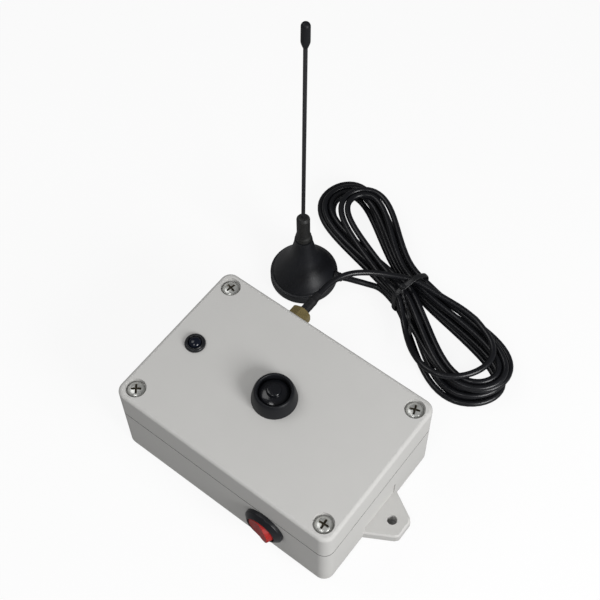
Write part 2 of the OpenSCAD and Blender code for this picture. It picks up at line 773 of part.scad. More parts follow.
// Power rocker. The paddle is drawn level and then turned to its resting end
module rocker_housing() color(dark)
    translate([rocker_x, 0, rocker_z]) mirror([0, 1, 0]) difference() {
        union() {
            rod_y(bezel_d, wall_y, wall_y + flange_t);
            translate([0, wall_y + flange_t, 0]) rotate([-90, 0, 0])
                cylinder(d1 = bezel_d, d2 = bezel_d - 0.8, h = 0.5);
            translate([0, wall_y + flange_t + 0.5, 0]) rotate([-90, 0, 0])
                cylinder(d1 = bezel_d - 0.8, d2 = bezel_open_d + 1, h = bezel_t - flange_t - 0.5);
            rod_y(barrel_d, switch_back, wall_y);
            for (s = [-1, 1]) translate([0, 0, -2]) linear_extrude(4) polygon([
                [s * (barrel_d / 2 - 0.5), wall_y - wall - 3.4], [s * (barrel_d / 2), wall_y - wall - 3.4],
                [s * (barrel_d / 2 + 0.6), wall_y - wall - 0.1], [s * (barrel_d / 2 - 0.5), wall_y - wall - 0.1]]);
        }
        rod_y(bezel_open_d, switch_floor, bezel_front + 1);
        translate([0, pivot_y, -trunnion_end - 0.15])
            cylinder(d = trunnion_d + 2 * pin_gap, h = 2 * trunnion_end + 0.3);
        for (s = [-1, 1]) translate([s * spade_x, 0, 0])
            translate([-spade_t / 2, switch_back - 1, -spade_w / 2])
                cube([spade_t, 2.5, spade_w]);
    }

module paddle_plan() {
    r = paddle_r;
    rise = r * tan(paddle_dish);
    polygon([[-r, -paddle_back], [r, -paddle_back], [r, paddle_front + rise],
        [0, paddle_front], [-r, paddle_front + rise]]);
}

module rocker() color([0.72, 0.10, 0.09])
    translate([rocker_x, -pivot_y, rocker_z]) rotate(-rocker_throw / 2) {
        intersection() {
            mirror([0, 1, 0]) linear_extrude(2 * paddle_r, center = true) paddle_plan();
            cylinder(r = paddle_r, h = 2 * paddle_r, center = true);
            rotate([90, 0, 0]) cylinder(r = paddle_r, h = 20, center = true);
            rotate([90, 0, rocker_throw / 2]) cylinder(r = paddle_r, h = 20, center = true);
            rotate([90, 0, -rocker_throw / 2]) cylinder(r = paddle_r, h = 20, center = true);
        }
        cylinder(d = trunnion_d, h = 2 * trunnion_end, center = true);
    }

module rocker_terminals() color(brass)
    translate([rocker_x, 0, rocker_z]) mirror([0, 1, 0])
        for (s = [-1, 1]) translate([s * spade_x, 0, 0]) difference() {
            translate([-spade_t / 2, switch_back - spade_len, -spade_w / 2])
                cube([spade_t, spade_len + 1.5, spade_w]);
            translate([-2, switch_back - spade_len + 2.2, 0]) rotate([0, 90, 0])
                cylinder(d = 1.6, h = 4);
        }

// Antenna connector
module antenna_jack() color(brass)
    translate([-jack_x, 0, jack_z]) difference() {
        union() {
            hex_y(nut_af, wall_y - wall - jack_flange_t, wall_y - wall);
            rod_y(jack_d, wall_y - wall - 1, jack_end);
            rod_y(3.2, wall_y - wall - jack_flange_t - jack_stub, wall_y - wall - 1);
        }
        rod_y(jack_bore_d, jack_end - jack_bore_len, jack_end + 1);
    }

module jack_lock_washer() color(brass)
    translate([-jack_x, 0, jack_z]) difference() {
        rod_y(nut_af + 1, wall_y, wall_y + jack_washer_t);
        rod_y(jack_d + 2 * seat_gap, wall_y - 1, wall_y + jack_washer_t + 1);
    }

module jack_nut() color(brass)
    translate([-jack_x, 0, jack_z]) rotate([0, 11, 0]) difference() {
        hex_y(nut_af, jack_nut_y, jack_nut_y + jack_nut_t);
        rod_y(jack_d + 2 * seat_gap, jack_nut_y - 1, jack_nut_y + jack_nut_t + 1);
    }

module plug_body() color(brass)
    translate([-jack_x, 0, jack_z]) {
        rod_y(jack_bore_d - 2 * seat_gap, jack_end - jack_bore_len + 0.4, jack_end);
        rod_y(jack_d - 0.3, jack_end, jack_end + plug_flange_t);
        rod_y(plug_neck_d, jack_end + plug_flange_t, plug_shoulder);
        rod_y(crimp_d, plug_shoulder, crimp_end);
    }

module coupling_nut() color(brass)
    translate([-jack_x, 0, jack_z]) difference() {
        intersection() {
            hex_y(nut_af, coupling_y, coupling_end);
            translate([0, coupling_y, 0]) rotate([-90, 0, 0]) {
                cylinder(d1 = nut_af + 0.5, d2 = nut_af / cos(30) + 0.1, h = 0.5);
                translate([0, 0, 0.5]) cylinder(d = nut_af / cos(30) + 0.1, h = coupling_len - 1);
                translate([0, 0, coupling_len - 0.5])
                    cylinder(d1 = nut_af / cos(30) + 0.1, d2 = nut_af + 0.5, h = 0.5);
            }
        }
        rod_y(jack_d + 2 * thread_gap, coupling_y - 1, coupling_end - coupling_web);
        rod_y(plug_neck_d + 2 * pin_gap, coupling_y, coupling_end + 1);
    }

module cable_boot() color(dark)
    translate([-jack_x, 0, jack_z]) difference() {
        union() {
            rod_y(crimp_d + 2 * boot_t + 2 * seat_gap, plug_shoulder, crimp_end + 0.8);
            translate([0, crimp_end + 0.8, 0]) rotate([-90, 0, 0])
                cylinder(d1 = crimp_d + 2 * boot_t + 2 * seat_gap, d2 = lead_d + 2 * boot_t + 0.1,
                    h = boot_end - crimp_end - 0.8);
        }
        rod_y(crimp_d + 2 * seat_gap, plug_shoulder - 1, crimp_end);
        rod_y(lead_d + 0.1, crimp_end - 1, boot_end + 1);
    }

// Lead, hank and tie
module antenna_lead() color(dark) swept_tube(lead_path, lead_d, lead_sides);

module antenna_lead_hank() color(dark) swept_tube(hank_path, lead_d, loop_sides);

module antenna_lead_tail() color(dark) swept_tube(tail_path, lead_d, lead_sides);

// The tie is a band round the waist and the lead over it, with its twisted end on top
tie_low = 0.1;
tie_room = lead_d / 2 + 0.8;
tie_side_in = waist_half + tie_room;
tie_side_out = waist_half - waist_step * 0.5 + tie_room;
tie_high = 2 * lead_d + hank_layer * 3 + waist_lift + 0.6;
tie_knot = [tie_s, -5.4, tie_high + tie_t];
tie_end_d = 1.5;
tie_end_route = [[2.6, -5.5, 18], [5.6, -8.5, 17.8], [8.2, -8.4, 15], [13, -9.6, 13.9],
    [21.4, -15.5, 13.2]];

module tie_outline(grow) {
    l = tie_side_in + tie_side_out + 2 * grow;
    h = tie_high - tie_low - tie_t + 2 * grow;
    translate([l / 2 - tie_side_in - grow, h / 2 + tie_low + tie_t - grow])
        round_rect(l, h, 1.4 + grow);
}

module cable_tie() color([0.13, 0.13, 0.14])
    translate([hank_at[0], hank_at[1], 0]) rotate(hank_turn) {
        translate([tie_s, 0, 0]) rotate([90, 0, 90]) linear_extrude(tie_w, center = true)
            difference() {
                tie_outline(tie_t);
                tie_outline(0);
            }
        translate([tie_knot[0], tie_knot[1], tie_knot[2] - 0.3]) cylinder(d = 2.6, h = 2.3);
        for (i = [0 : len(tie_end_route) - 2]) {
            v = tie_end_route[i + 1] - tie_end_route[i];
            translate(tie_end_route[i]) rotate([0, acos(v[2] / norm(v)), atan2(v[1], v[0])])
                cylinder(d = tie_end_d, h = norm(v));
            translate(tie_end_route[i + 1]) sphere(d = tie_end_d + 0.12);
        }
    }

// Magnetic foot antenna
module antenna_foot_shell() color(dark)
    translate([foot_x, foot_y, 0]) difference() {
        rotate_extrude($fn = 96) polygon([
            [0, foot_pad_t], [foot_d / 2 - 0.3, foot_pad_t], [foot_d / 2, foot_pad_t + 0.5],
            [foot_d / 2, foot_band], [bell_shoulder + 0.3, foot_band + 1.6],
            [bell_shoulder, foot_band + 2], [bell_shoulder - 0.8, foot_band + 3.4],
            [bell_shoulder - 2.2, foot_band + 5.4], [bell_shoulder - 4, foot_band + 8],
            [bell_shoulder - 5.8, foot_band + 11], [bell_shoulder - 7.3, foot_band + 14.4],
            [collar_d / 2 + 1.1, bell_h - 5], [collar_d / 2 + 0.5, bell_h - 2],
            [collar_d / 2 + 0.3, bell_h], [0, bell_h]]);
        translate([0, 0, -1]) cylinder(d = magnet_d + 2 * seat_gap, h = foot_pad_t + magnet_t + 1);
        translate([0, 0, whip_base_z]) cylinder(d = whip_d + 2 * seat_gap, h = bell_h);
        rotate(relief_turn) translate([relief_from, 0, relief_z]) rotate([0, 90, 0])
            cylinder(d = relief_d + 2 * seat_gap, h = foot_d);
    }

module antenna_magnet() color(zinc)
    translate([foot_x, foot_y, foot_pad_t]) cylinder(d = magnet_d, h = magnet_t);

module antenna_foot_pad() color([0.15, 0.15, 0.15])
    translate([foot_x, foot_y, 0]) cylinder(d = foot_d - 1, h = foot_pad_t);

module antenna_strain_relief() color(dark)
    translate([foot_x, foot_y, relief_z]) rotate(relief_turn) {
        translate([relief_from, 0, 0]) rotate([0, 90, 0])
            cylinder(d = relief_d, h = foot_d / 2 - relief_from + 0.6);
        translate([foot_d / 2 + 0.6, 0, 0]) rotate([0, 90, 0])
            cylinder(d1 = relief_d, d2 = lead_d + 0.8, h = relief_to - foot_d / 2 - 0.6);
    }

module antenna_ferrule() color([0.13, 0.13, 0.13])
    translate([foot_x, foot_y, 0]) difference() {
        union() {
            translate([0, 0, bell_h]) cylinder(d = collar_d, h = 2.4);
            translate([0, 0, bell_h + 2.4]) cylinder(d1 = collar_d, d2 = ferrule_d, h = 0.8);
            translate([0, 0, bell_h + 3.2]) cylinder(d = ferrule_d, h = ferrule_len - 4.4);
            translate([0, 0, ferrule_top - 1.2]) cylinder(d1 = ferrule_d, d2 = ferrule_d - 1.6, h = 1.2);
        }
        translate([0, 0, bell_h - 1]) cylinder(d = whip_d + 2 * seat_gap, h = ferrule_len + 2);
    }

module antenna_whip() color(dark)
    translate([foot_x, foot_y, whip_base_z]) cylinder(d = whip_d, h = whip_top - whip_base_z);

module antenna_tip() color(dark)
    translate([foot_x, foot_y, 0]) difference() {
        union() {
            translate([0, 0, antenna_h - tip_d / 2]) sphere(d = tip_d);
            translate([0, 0, antenna_h - tip_len + tip_taper])
                cylinder(d = tip_d, h = tip_len - tip_taper - tip_d / 2);
            translate([0, 0, antenna_h - tip_len])
                cylinder(d1 = whip_d + 0.7, d2 = tip_d, h = tip_taper);
        }
        translate([0, 0, antenna_h - tip_len - 1])
            cylinder(d = whip_d + 2 * seat_gap, h = whip_top - antenna_h + tip_len + 1);
    }

// Electronics
board_holes = [for (c = [[0, 0], [1, 0], [0, 1], [1, 1]])
    [board_x + board_hole_in + c[0] * (board_l - 2 * board_hole_in),
     board_y + board_hole_in + c[1] * (board_w - 2 * board_hole_in)]];

module circuit_board() color([0.10, 0.35, 0.16])
    difference() {
        translate([board_x, board_y, board_z]) cube([board_l, board_w, board_t]);
        for (p = board_holes) translate([p[0], p[1], board_z - 1])
            cylinder(d = board_screw_d + 0.5, h = board_t + 2);
    }

module board_screws() color(zinc)
    for (p = board_holes) translate([p[0], p[1], board_top])
        pan_screw(board_screw_d, standoff_h - 0.6, board_screw_head, 1.3);

module transmitter_module() color([0.05, 0.20, 0.32])
    translate([module_x, module_y, board_top]) cube([module_l, module_w, module_t]);

module module_shield() color(zinc)
    translate([module_x + 1.5, module_y + 1.2, board_top + module_t])
        linear_extrude(shield_h) translate([shield_l / 2, shield_w / 2])
            round_rect(shield_l, shield_w, 0.6);

module crystal() color(zinc)
    translate([-5, -8, board_top]) linear_extrude(3.5) round_rect(10.6, 4.4, 2.15);

module encoder_chip() color([0.07, 0.07, 0.07])
    translate([-6, -20.5, board_top]) {
        translate([-5.1, -3.75, 0.2]) cube([10.2, 7.5, 2.1]);
        for (i = [0 : 7], s = [-1, 1])
            translate([-4.65 + 1.27 * i, s * 4.3 - 0.9, 0]) cube([0.4, 1.8, 0.5]);
    }

module capacitor() color([0.2, 0.2, 0.3])
    translate([-25, -22.5, board_top]) {
        translate([-3.4, -3.4, 0]) cube([6.8, 6.8, 1]);
        cylinder(d = 6.3, h = 7.6);
    }

module terminal_block() color([0.10, 0.42, 0.24])
    translate([block_x, block_y, board_top]) difference() {
        cube([block_w, block_l, block_h]);
        for (k = [0.25, 0.75]) translate([block_w / 2, block_l * k, block_h - 1.5])
            cylinder(d = 3, h = 2);
    }

module battery() color([0.16, 0.17, 0.2]) {
    translate([battery_x, battery_y + battery_w / 2, battery_z + battery_h / 2])
        rotate([90, 0, 90]) linear_extrude(battery_l) round_rect(battery_w, battery_h, 1.6);
    for (s = [-1, 1]) translate([battery_x - stud_len, battery_y + battery_w / 2 + s * stud_y, stud_z])
        rotate([0, 90, 0]) cylinder(d = stud_d, h = stud_len + 0.5);
}

module battery_pad() color([0.3, 0.3, 0.32])
    translate([battery_x + 4, battery_y + 3, floor_t]) cube([battery_l - 12, battery_w - 6, pad_t]);

module battery_snap() color(dark)
    translate([battery_x - snap_t, battery_y + (battery_w - snap_w) / 2, stud_z - snap_h / 2])
        difference() {
            cube([snap_t - 0.1, snap_w, snap_h]);
            for (s = [-1, 1]) translate([snap_t - stud_len - 0.1, snap_w / 2 + s * stud_y, snap_h / 2])
                rotate([0, 90, 0]) cylinder(d = stud_d + 2 * seat_gap, h = stud_len + 1);
        }

// Hook-up wires
module button_wires() color([0.75, 0.7, 0.1])
    for (s = [-1, 1]) wire_run([[s * button_lug_x, 0, button_lug_z],
        [s * button_lug_x, 0, button_lug_z - wire_out],
        [s * button_pad_x, button_pad_y, board_top + wire_low],
        [s * button_pad_x, button_pad_y, board_top]], wire_d, [1, 0, 0]);

module lamp_wires() color([0.8, 0.3, 0.1]) {
    lamp_wire_z = lamp_base - lamp_leg_len;
    for (i = [0, 1]) {
        leg_x = -lamp_x + (2 * i - 1) * lamp_leg;
        wire_run([[leg_x, 0, lamp_wire_z], [leg_x, 0, lamp_wire_z - wire_out],
            [lamp_pad_x[i], lamp_pad_y[i], board_top + wire_high],
            [lamp_pad_x[i], lamp_pad_y[i], board_top]], wire_d, [1, 0, 0]);
    }
}

module switch_wires() color([0.7, 0.08, 0.08]) {
    lug_y = -switch_back + spade_len;
    block_wire_x = block_x + block_w;
    snap_y = battery_y + (battery_w - snap_w) / 2;
    wire_run([[rocker_x - spade_x, lug_y, rocker_z], [rocker_x - spade_x, lug_y + wire_low, rocker_z],
        [block_wire_x + wire_low, block_y + block_wire_y, board_top + block_wire_z],
        [block_wire_x, block_y + block_wire_y, board_top + block_wire_z]], wire_d);
    wire_run([[rocker_x + spade_x, lug_y, rocker_z], [rocker_x + spade_x, lug_y + wire_out, rocker_z],
        [rocker_x, 0, rocker_z], [rocker_x - wire_turn, battery_y - 1, stud_z + 1],
        [battery_x - feed_x, battery_y - 1, stud_z + 1],
        [battery_x - feed_x, snap_y, stud_z + 1]], wire_d);
}

module battery_wires() color([0.08, 0.08, 0.08])
    wire_run([[battery_x - return_x, battery_y + (battery_w - snap_w) / 2, stud_z + 1],
        [battery_x - return_x, battery_y - 2, stud_z + 1],
        [return_pad_x, return_pad_y, board_top + wire_low],
        [return_pad_x, return_pad_y, board_top]], wire_d, [1, 0, 0]);

module antenna_pigtail() color([0.45, 0.3, 0.15]) {
    rear = wall_y - wall - jack_flange_t - jack_stub;
    pad_x = module_x + pigtail_pad_x;
    pad_y = module_y + module_w - pigtail_pad_in;
    wire_run([[-jack_x, rear, jack_z], [-jack_x, rear - wire_low, jack_z],
        [-jack_x, pigtail_bend_y, jack_z - 2], [pad_x, pad_y, board_top + module_t + wire_low],
        [pad_x, pad_y, board_top + module_t]], pigtail_d, [1, 0, 0]);
}

enclosure_base();
enclosure_lid();
lid_gasket();
lid_screws();
push_button_bezel();
push_button_cap();
push_button_contact();
push_button_spring();
push_button_washer();
push_button_nut();
push_button_terminals();
lamp_holder();
lamp_lens();
lamp_ring_nut();
lamp_leads();
rocker_housing();
rocker();
rocker_terminals();
antenna_jack();
jack_lock_washer();
jack_nut();
plug_body();
coupling_nut();
cable_boot();
antenna_lead();
antenna_lead_hank();
antenna_lead_tail();
cable_tie();
antenna_foot_shell();
antenna_magnet();
antenna_foot_pad();
antenna_strain_relief();
antenna_ferrule();
antenna_whip();
antenna_tip();
circuit_board();
board_screws();
transmitter_module();
module_shield();
crystal();
encoder_chip();
capacitor();
terminal_block();
battery();
battery_pad();
battery_snap();
button_wires();
lamp_wires();
switch_wires();
battery_wires();
antenna_pigtail();
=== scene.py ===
"""Looks of the radio transmitter: a grey screwed enclosure with its button, lamp and rocker,
and a whip antenna with a magnetic foot on a tied coaxial lead.

Sizes are millimetres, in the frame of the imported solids. Those of the studio and of the
finishes are metres.
"""

import logging
import math
from collections.abc import Sequence
from dataclasses import dataclass, field
from enum import Enum
from typing import NamedTuple, Optional

import bpy
from mathutils import Matrix, Vector


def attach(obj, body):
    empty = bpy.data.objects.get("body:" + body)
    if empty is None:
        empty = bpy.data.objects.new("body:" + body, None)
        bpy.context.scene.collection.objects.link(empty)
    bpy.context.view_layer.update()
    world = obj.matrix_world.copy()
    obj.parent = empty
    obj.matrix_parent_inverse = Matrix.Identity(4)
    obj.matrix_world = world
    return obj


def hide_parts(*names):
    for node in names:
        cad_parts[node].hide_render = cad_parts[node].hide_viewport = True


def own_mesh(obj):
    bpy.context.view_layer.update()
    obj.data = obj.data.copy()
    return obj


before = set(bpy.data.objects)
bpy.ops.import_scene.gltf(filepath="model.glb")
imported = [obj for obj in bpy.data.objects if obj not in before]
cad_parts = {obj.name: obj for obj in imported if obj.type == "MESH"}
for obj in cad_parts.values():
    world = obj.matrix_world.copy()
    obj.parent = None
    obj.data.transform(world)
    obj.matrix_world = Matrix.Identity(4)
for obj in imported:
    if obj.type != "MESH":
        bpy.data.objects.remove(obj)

LOG = logging.getLogger("transmitter")
MM = 0.001
BLACK = (0.0, 0.0, 0.0, 1.0)
WHITE = (1.0, 1.0, 1.0, 1.0)
# Where the two ends of the lead are held, in mm and degrees
JACK_X = -21.8
JACK_Z = 20.0
FOOT_X = -39.9
FOOT_Y = 69.6
RELIEF_Z = 5.0
RELIEF_TURN = 24.0
Piece = bpy.types.Object
Material = bpy.types.Material
Node = bpy.types.Node
Socket = bpy.types.NodeSocket
Inputs = dict[str | int, object]
Point = tuple[float, float, float]
Pair = tuple[float, float]
Colour = tuple[float, float, float]
Ring = tuple[float, float]


class Axis(Enum):
    """Direction in which the height of a turned piece points, as Euler angles in degrees."""

    UP = (0.0, 0.0, 0.0)
    PLUS_Y = (-90.0, 0.0, 0.0)
    MINUS_Y = (90.0, 0.0, 0.0)


class Body(Enum):
    """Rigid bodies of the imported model."""

    TRANSMITTER = "transmitter"
    BUTTON = "button"
    ROCKER = "rocker"
    COUPLING = "coupling_nut"


# Finishes


@dataclass(frozen=True)
class Graph:
    """The node tree of a material or of the world."""

    tree: bpy.types.NodeTree

    def feed(self, node: Node, inputs: Inputs) -> None:
        """Sets inputs of a node.

        Args:
            node: The node.
            inputs: For each input its value, or another node's output to link to it.
        """
        for socket, value in inputs.items():
            if isinstance(value, Socket):
                self.tree.links.new(value, node.inputs[socket])
            else:
                node.inputs[socket].default_value = value

    def add(self, kind: str, inputs: Optional[Inputs] = None, **settings: object) -> Node:
        """Adds a node.

        Args:
            kind: The node's kind.
            inputs: What its inputs are set to.
            **settings: The node's own settings, made before its inputs.

        Returns:
            The node.
        """
        node = self.tree.nodes.new(f"ShaderNode{kind}")
        for key, value in settings.items():
            setattr(node, key, value)
        self.feed(node, inputs or {})
        return node


class Undercoat(NamedTuple):
    """What the kinds of finish build on."""

    graph: Graph
    shader: Node
    place: Socket
    colour: Socket


@dataclass(frozen=True)
class Finish:
    """A surface with a mottled colour, uneven roughness and a fine relief.

    All patterns are noise on the piece's own coordinates.
    """

    name: str
    colour: Colour
    roughness: float = 0.5
    metallic: float = 0.0
    mottle: float = 0.06
    mottle_scale: float = 60.0
    grain: float = 0.15
    grain_scale: float = 2500.0
    grain_height: float = 0.00002
    unevenness: float = 0.08
    coat: float = 0.0
    specular: float = 0.5

    def undercoat(self, material: Material) -> Undercoat:
        """Makes the nodes that all finishes share.

        Args:
            material: The material to fill.

        Returns:
            The graph, the shader, the coordinates and the colour.
        """
        material.use_nodes = True
        graph = Graph(material.node_tree)
        shader = graph.tree.nodes["Principled BSDF"]
        place = graph.add("TexCoord").outputs["Object"]
        cloud = graph.add("TexNoise", {"Scale": self.mottle_scale, "Detail": 3.0,
                                       "Vector": place}).outputs["Fac"]
        low = [max(0.0, c * (1.0 - self.mottle)) for c in self.colour]
        high = [min(1.0, c * (1.0 + self.mottle)) for c in self.colour]
        blend = graph.add("Mix", {"A": (*low, 1.0), "B": (*high, 1.0), "Factor": cloud},
                          data_type="RGBA")
        spread = graph.add("MapRange", {"To Min": max(0.02, self.roughness - self.unevenness),
                                        "To Max": min(1.0, self.roughness + self.unevenness),
                                        "Value": cloud})
        relief = graph.add("TexNoise", {"Scale": self.grain_scale, "Detail": 2.0,
                                        "Vector": place})
        bump = graph.add("Bump", {"Strength": self.grain, "Distance": self.grain_height,
                                  "Height": relief.outputs["Fac"]})
        colour = blend.outputs["Result"]
        graph.feed(shader, {"Base Color": colour, "Roughness": spread.outputs["Result"],
                            "Normal": bump.outputs["Normal"], "Metallic": self.metallic,
                            "Coat Weight": self.coat, "Specular IOR Level": self.specular})
        return Undercoat(graph, shader, place, colour)

    def material(self) -> Material:
        """Gives this finish's material, which is made once.

        Returns:
            The material.
        """
        known = bpy.data.materials.get(self.name)
        if known is not None:
            return known
        material = bpy.data.materials.new(self.name)
        self.dress(material)
        return material

    def dress(self, material: Material) -> None:
        """Fills a new material; kinds of finish add to it."""
        self.undercoat(material)


@dataclass(frozen=True)
class Tinted(Finish):
    """A plastic that lets some light through, such as a lens or a rocker."""

    transmission: float = 0.0
    depth: float = 0.3
    scatter: Point = (0.004, 0.0006, 0.0004)

    def dress(self, material: Material) -> None:
        """Adds the light that passes through and scatters.

        Args:
            material: The material to fill.
        """
        made = self.undercoat(material)
        made.graph.feed(made.shader, {
            "Transmission Weight": self.transmission, "Subsurface Weight": self.depth,
            "Subsurface Radius": self.scatter, "Subsurface Scale": 1.0})


@dataclass(frozen=True)
class Streaked(Finish):
    """A metal or drawn surface with fine marks that are stretched along its axes."""

    stretch: Point = (40.0, 40.0, 1200.0)
    streak: float = 0.4

    def dress(self, material: Material) -> None:
        """Adds the marks to the colour.

        Args:
            material: The material to fill.
        """
        graph, shader, place, colour = self.undercoat(material)
        drawn = graph.add("Mapping", {"Scale": self.stretch, "Vector": place})
        marks = graph.add("TexNoise", {"Scale": 1.0, "Detail": 4.0,
                                       "Vector": drawn.outputs["Vector"]})
        shade = graph.add("Mix", {"Factor": self.streak, "A": colour, "B": marks.outputs["Fac"]},
                          data_type="RGBA", blend_type="MULTIPLY")
        graph.feed(shader, {"Base Color": shade.outputs["Result"]})


@dataclass(frozen=True)
class Laminate(Finish):
    """A circuit board's lacquer with its copper tracks showing through."""

    track: Colour = (0.10, 0.42, 0.20)
    pitch: float = 420.0
    track_width: float = 0.06

    def dress(self, material: Material) -> None:
        """Adds the net of tracks.

        Args:
            material: The material to fill.
        """
        graph, shader, place, colour = self.undercoat(material)
        cells = graph.add("TexBrick", {"Scale": self.pitch, "Mortar Size": self.track_width,
                                       "Color1": BLACK, "Color2": BLACK, "Mortar": WHITE,
                                       "Vector": place})
        tracks = graph.add("Mix", {"B": (*self.track, 1.0), "Factor": cells.outputs["Color"],
                                   "A": colour}, data_type="RGBA")
        graph.feed(shader, {"Base Color": tracks.outputs["Result"]})


CASE_GREY = Finish("case_grey", (0.56, 0.555, 0.54), 0.6, mottle=0.02, mottle_scale=90.0,
                   grain=0.35, grain_scale=2600.0, grain_height=0.00003, unevenness=0.05,
                   specular=0.3)
SEAM_SHADE = Finish("seam_shade", (0.07, 0.068, 0.064), 0.9, mottle=0.2, grain=0.3,
                    specular=0.1)
SATIN_BLACK = Finish("satin_black", (0.009, 0.0096, 0.012), 0.34, mottle=0.25,
                     mottle_scale=140.0, grain=0.2, grain_scale=2200.0, specular=0.4)
DULL_BLACK = Finish("dull_black", (0.0088, 0.0094, 0.0116), 0.44, mottle=0.25,
                    mottle_scale=200.0, grain=0.4, grain_scale=1800.0, grain_height=0.00004,
                    specular=0.22)
CAP_BLACK = Finish("cap_black", (0.0065, 0.007, 0.009), 0.2, mottle=0.2, mottle_scale=90.0,
                   grain=0.05, unevenness=0.05, coat=0.2, specular=0.4)
SHELL_BLACK = Finish("shell_black", (0.0095, 0.0102, 0.0128), 0.4, mottle=0.25,
                     mottle_scale=110.0, grain=0.3, grain_scale=1500.0, grain_height=0.00003)
JACKET_BLACK = Finish("jacket_black", (0.0068, 0.0072, 0.0092), 0.33, mottle=0.2,
                      mottle_scale=160.0, grain=0.01, grain_scale=1400.0, grain_height=0.000005,
                      unevenness=0.03, specular=0.42)
SLEEVE_BLACK = Finish("sleeve_black", (0.011, 0.0112, 0.0125), 0.5, mottle=0.3,
                      mottle_scale=260.0, grain=0.5, grain_scale=1200.0, grain_height=0.00006,
                      specular=0.4)
TIE_GREY = Finish("tie_grey", (0.011, 0.0115, 0.013), 0.4, mottle=0.4, mottle_scale=300.0,
                  grain=0.4, grain_scale=1500.0)
PAD_BLACK = Finish("pad_black", (0.03, 0.03, 0.031), 0.85, mottle=0.3, grain=0.8,
                   grain_scale=1400.0, grain_height=0.0001)
WHIP_BLACK = Streaked("whip_black", (0.013, 0.013, 0.0155), 0.4, mottle=0.08, grain=0.05,
                      grain_height=0.00001, unevenness=0.02, stretch=(300.0, 300.0, 15.0),
                      streak=0.12)
FERRULE_BLACK = Finish("ferrule_black", (0.016, 0.016, 0.0155), 0.48, mottle=0.3,
                       mottle_scale=500.0, grain=0.5, grain_scale=1300.0, grain_height=0.00005)
LENS_SMOKE = Tinted("lens_smoke", (0.006, 0.008, 0.016), 0.12, mottle=0.2, grain=0.03,
                    unevenness=0.03, coat=0.1, specular=0.35, transmission=0.1, depth=0.0)
ROCKER_RED = Tinted("rocker_red", (0.34, 0.02, 0.018), 0.42, mottle=0.2, mottle_scale=120.0,
                    specular=0.16)
PLATED_ZINC = Streaked("plated_zinc", (0.66, 0.665, 0.64), 0.3, metallic=0.6, mottle=0.2,
                       mottle_scale=700.0, grain=0.25, grain_scale=1500.0,
                       stretch=(700.0, 700.0, 700.0), streak=0.25)
CROSS_SHADE = Finish("cross_shade", (0.10, 0.088, 0.065), 0.28, metallic=0.4, mottle=0.3,
                     mottle_scale=900.0, grain=0.3, grain_scale=1500.0)
GILT = Streaked("gilt", (0.80, 0.63, 0.28), 0.22, metallic=0.88, mottle=0.12,
                mottle_scale=500.0, grain=0.2, grain_scale=900.0, stretch=(60.0, 1500.0, 60.0),
                streak=0.3)
TINNED = Finish("tinned", (0.72, 0.71, 0.68), 0.32, metallic=1.0, mottle=0.15,
                mottle_scale=300.0, grain=0.3, grain_scale=900.0)
SINTER = Finish("sintered_magnet", (0.09, 0.09, 0.095), 0.55, metallic=0.6, mottle=0.2, grain=0.6)
BOARD = Laminate("board_lacquer", (0.035, 0.16, 0.07), 0.38, mottle=0.1, grain=0.2)
MODULE = Laminate("module_lacquer", (0.02, 0.06, 0.19), 0.38, mottle=0.1, grain=0.2,
                  track=(0.05, 0.13, 0.33), pitch=900.0)
CHIP = Finish("moulded_epoxy", (0.02, 0.02, 0.021), 0.6, mottle=0.2, grain=0.6)
CAN = Finish("capacitor_can", (0.05, 0.055, 0.075), 0.3, metallic=0.2, mottle=0.1)
BLOCK = Finish("terminal_green", (0.03, 0.22, 0.09), 0.45, mottle=0.1, grain=0.3)
CELL = Finish("battery_sleeve", (0.03, 0.033, 0.045), 0.35, metallic=0.3, mottle=0.15)
FOAM = Finish("foam", (0.07, 0.07, 0.075), 0.95, mottle=0.3, mottle_scale=900.0, grain=1.0,
              grain_scale=1100.0, grain_height=0.0002)
GASKET = Finish("gasket", (0.03, 0.03, 0.03), 0.8, grain=0.4)
WIRE_YELLOW = Finish("wire_yellow", (0.62, 0.46, 0.03), 0.4, grain=0.2)
WIRE_ORANGE = Finish("wire_orange", (0.62, 0.17, 0.02), 0.4, grain=0.2)
WIRE_RED = Finish("wire_red", (0.45, 0.02, 0.018), 0.4, grain=0.2)
WIRE_BLACK = Finish("wire_black", (0.02, 0.02, 0.021), 0.4, grain=0.2)
WIRE_BROWN = Finish("wire_brown", (0.20, 0.09, 0.035), 0.4, grain=0.2)


# Modelling bench


